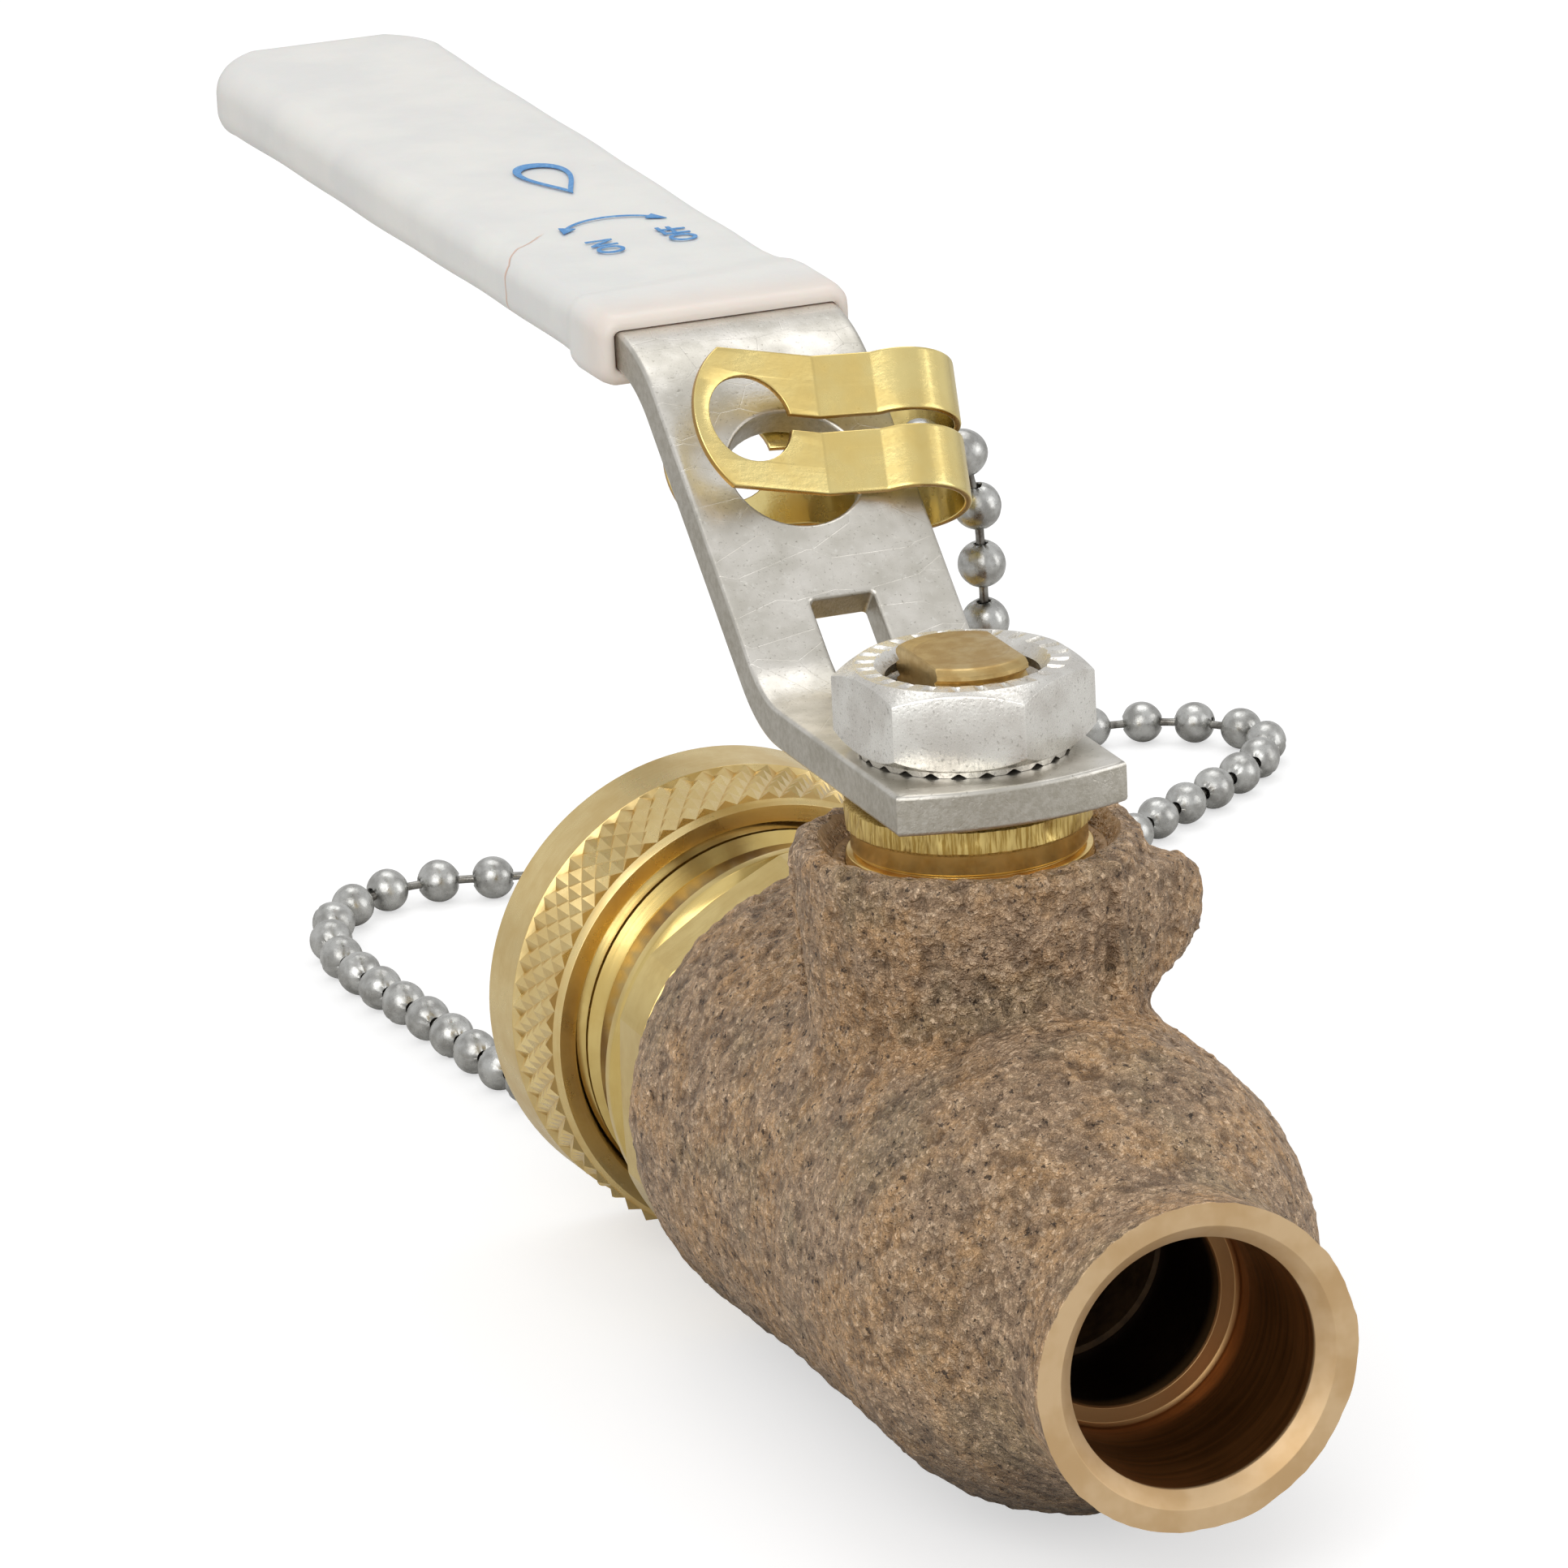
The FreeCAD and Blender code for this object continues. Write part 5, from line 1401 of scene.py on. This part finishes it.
def bead_shell(seed):
    """Hollow bead of folded sheet: rolled holes, a seam and wrinkles round each hole."""
    columns = 40
    hole_r = 0.52
    wall = 0.16
    end = math.acos(hole_r / BEAD_R)
    angle = np.arange(columns) * TAU / columns
    rows = []
    for latitude in np.linspace(-end, end, 21):
        closeness = (abs(latitude) / end) ** 6
        folds = np.sin(angle * 5 + seed + 2.1 * np.sin(angle * 2 + seed * 3))
        radius = BEAD_R * (1 + closeness * (0.028 * folds - 0.015))
        seam = np.exp(-((angle - math.pi) / 0.045) ** 2) * 0.055
        radius = radius - seam
        dent = 0.018 * np.sin(angle * 3 + seed * 1.7) * math.sin(latitude * 2 + seed)
        radius = radius * (1 + dent)
        rows.append(np.stack([radius * math.sin(latitude), radius * math.cos(latitude) * np.cos(angle),
                              radius * math.cos(latitude) * np.sin(angle)], 1))
    for latitude in np.linspace(end, -end, 11):
        inner = BEAD_R - wall
        height = min(1.0, abs(latitude) / end)
        along = inner * math.sin(latitude) * (1 + 0.02 * height)
        across = max(inner * math.cos(latitude), hole_r - 0.08)
        rows.append(np.stack([along + angle * 0, across * np.cos(angle), across * np.sin(angle)], 1))
    return wrapped_shell(rows, closed=True)


def link_shell(length):
    """Wire with a round head on each end, from -length/2 to length/2 along X."""
    columns = 12
    head = 0.46
    angle = np.arange(columns) * TAU / columns
    half = [(-length / 2 - head * 0.95, 0.12), (-length / 2 - head * 0.6, 0.38), (-length / 2, head),
            (-length / 2 + 0.35, LINK_R)]
    outline = half + [(0, LINK_R * 0.94)] + [(-u, r) for u, r in half[::-1]]
    rows = [np.stack([u + angle * 0, r * np.cos(angle), r * np.sin(angle)], 1) for u, r in outline]
    return wrapped_shell(rows, closed=False)


def chain_pieces():
    """The chain in two runs, one hanging and one lying."""
    centres = chain_centres()
    split = 27
    moulds = [bead_shell(seed * 1.3) for seed in range(5)]
    rivet_inside = np.array([0, RIVET_LOW.y + 0.2, 0])
    beads, links = [], []
    for i, centre in enumerate(centres):
        before = centres[i - 1] if i else centre
        after = centres[i + 1] if i + 1 < len(centres) else rivet_inside
        roll = 0.9 * math.sin(i * 2.3) + 0.5 * math.sin(i * 0.7)
        mould_points, mould_faces = moulds[(i * 3) % 5]
        beads.append((aligned(mould_points, centre, after - before, roll), mould_faces))
        span = after - centre
        gap = np.linalg.norm(span)
        link_points, link_faces = link_shell(gap - 1.5)
        links.append((aligned(link_points, centre + span / 2, span, 0.0), link_faces))
    steel_beads = chain_steel("chain_beads", linear(206, 206, 203), linear(166, 165, 161))
    steel_links = chain_steel("chain_links", linear(160, 158, 152), linear(104, 100, 94))
    made = []
    kinds = (("beads", beads, steel_beads), ("links", links, steel_links))
    for kind, shells, steel in kinds:
        slot = "chain_" + kind
        hanging = make_piece(slot + "_hanging", joined(shells[:split]), 40, weighted=False)
        lying = make_piece(slot + "_lying", joined(shells[split:]), 40, weighted=False)
        dress(hanging, steel, stands_for=[slot + "_handle"])
        dress(lying, steel, stands_for=[slot + "_floor", slot + "_cap"])
        made.append((hanging, lying))
    for hanging, lying in made:
        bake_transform(hanging)
        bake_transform(lying)


# --- pieces carried over from the frame -------------------------------------------
def dress_frame_nodes():
    """Materials for the inner pieces whose CAD shape stays."""
    # filled PTFE tan, darkened further as painted shade inside the valve
    ptfe = soft_part("filled_ptfe_and_painted_shade", linear(116, 92, 64), linear(84, 66, 46), 1.5, 0.4)
    packing = soft_part("packing_ptfe", linear(214, 210, 200), linear(176, 170, 156), 1.0, 0.45)
    rubber = soft_part("washer_rubber", linear(44, 42, 40), linear(26, 25, 24), 1.2, 0.55)
    # the ball's brass is darkened as painted shade deep inside the valve
    ball_brass = turned_brass("ball_brass", linear(104, 88, 64), linear(74, 62, 46), 0.22, marks=0.002)
    looks = {"seat_inlet": ptfe, "seat_outlet": ptfe, "retainer_seal": ptfe, "stem_bearing": ptfe,
             "stem_packing": packing, "cap_washer": rubber, "ball": ball_brass}
    for node, look in looks.items():
        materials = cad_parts[node].data.materials
        materials.clear()
        materials.append(look)


# --- stage ------------------------------------------------------------------------
def stage():
    """Pale floor just under the part, made a little brighter where the camera sees it."""
    floor_z = cad_bounds[0][2] - 0.00002
    size = 6.0
    mesh = bpy.data.meshes.new("floor")
    corners = [(x * size, y * size, floor_z) for x, y in ((-1, -1), (1, -1), (1, 1), (-1, 1))]
    mesh.from_pydata(corners, [], [(0, 1, 2, 3)])
    floor = placed("floor", mesh)
    look = Look("floor_paper")
    tone = look.noise(60.0, 2.0)
    seen = look.add("ShaderNodeLightPath").outputs["Is Camera Ray"]
    bright = look.mix(tone, linear(196, 196, 196), linear(200, 200, 200))
    paper = look.mix(seen, linear(205, 204, 202), bright)
    look.finish(paper, 0.8, 0.0, Specular_IOR_Level=0.1, Emission_Color=(1, 1, 1, 1),
                Emission_Strength=look.math("MULTIPLY", seen, 0.55))
    mesh.materials.append(look.material)


def soft_light(name, place, aim, size, power, colour=(1, 1, 1)):
    light = bpy.data.lights.new(name, "AREA")
    light.shape = "RECTANGLE"
    light.size, light.size_y = size
    light.energy = power
    light.color = colour
    holder = placed(name, light)
    holder.location = place
    holder.rotation_euler = (aim - place).to_track_quat("-Z", "Y").to_euler()


def lights():
    """Big soft box from the front left, weaker fill and top light, plain graded surroundings."""
    centre = framed(0, 5, 15)
    soft_light("key", centre + Vector((-0.50, -0.62, 0.52)), centre, (0.75, 0.75), 3.6)
    soft_light("fill", centre + Vector((0.75, -0.45, 0.25)), centre, (0.5, 0.8), 1.5)
    soft_light("top", centre + Vector((0.15, 0.35, 0.85)), centre, (0.6, 0.5), 1.2)
    world = bpy.data.worlds.new("studio")
    bpy.context.scene.world = world
    world.use_nodes = True
    nodes, links = world.node_tree.nodes, world.node_tree.links
    background = nodes["Background"]
    direction = nodes.new("ShaderNodeTexCoord")
    split = nodes.new("ShaderNodeSeparateXYZ")
    ramp = nodes.new("ShaderNodeValToRGB")
    remap = nodes.new("ShaderNodeMapRange")
    remap.inputs["From Min"].default_value = -1.0
    links.new(direction.outputs["Generated"], split.inputs[0])
    links.new(split.outputs["Z"], remap.inputs["Value"])
    links.new(remap.outputs[0], ramp.inputs[0])
    levels = ((0.0, 0.07), (0.40, 0.14), (0.50, 0.60), (0.62, 0.74), (0.80, 0.62), (1.0, 0.80))
    elements = ramp.color_ramp.elements
    while len(elements) < len(levels):
        elements.new(0.5)
    for element, (where, level) in zip(elements, levels):
        element.position = where
        element.color = (level, level, level, 1)
    path = nodes.new("ShaderNodeLightPath")
    mix = nodes.new("ShaderNodeMix")
    mix.data_type = "RGBA"
    links.new(path.outputs["Is Camera Ray"], mix.inputs[0])
    links.new(ramp.outputs[0], mix.inputs[6])
    mix.inputs[7].default_value = (1.0, 1.0, 1.0, 1)
    links.new(mix.outputs[2], background.inputs["Color"])
    background.inputs["Strength"].default_value = 1.0


def camera():
    """Long lens, low over the solder cup, with the slight roll of a hand-held shot."""
    azimuth, elevation, roll = math.radians(-20.0), math.radians(17.437), math.radians(-2.757)
    target = framed(-7.405, 12.980, 24.693)
    distance = 591.945 * MM
    back = Vector((math.sin(azimuth) * math.cos(elevation), -math.cos(azimuth) * math.cos(elevation),
                   math.sin(elevation)))
    data = bpy.data.cameras.new("camera")
    data.lens = 214.57
    data.sensor_width = 36.0
    data.clip_start, data.clip_end = 0.01, 20.0
    holder = placed("camera", data)
    holder.location = target + back * distance
    look_turn = (-back).to_track_quat("-Z", "Y").to_matrix()
    holder.rotation_euler = (look_turn @ Matrix.Rotation(roll, 3, "Z")).to_euler()
    bpy.context.scene.camera = holder


body_piece()
cap_piece()
retainer_piece()
rivet_piece()
gland_piece()
stem_piece()
nut_piece()
lever_piece()
clip_piece()
grip_piece()
print_piece()
chain_pieces()
dress_frame_nodes()
stage()
lights()
camera()
bpy.context.scene.view_settings.view_transform = "Standard"
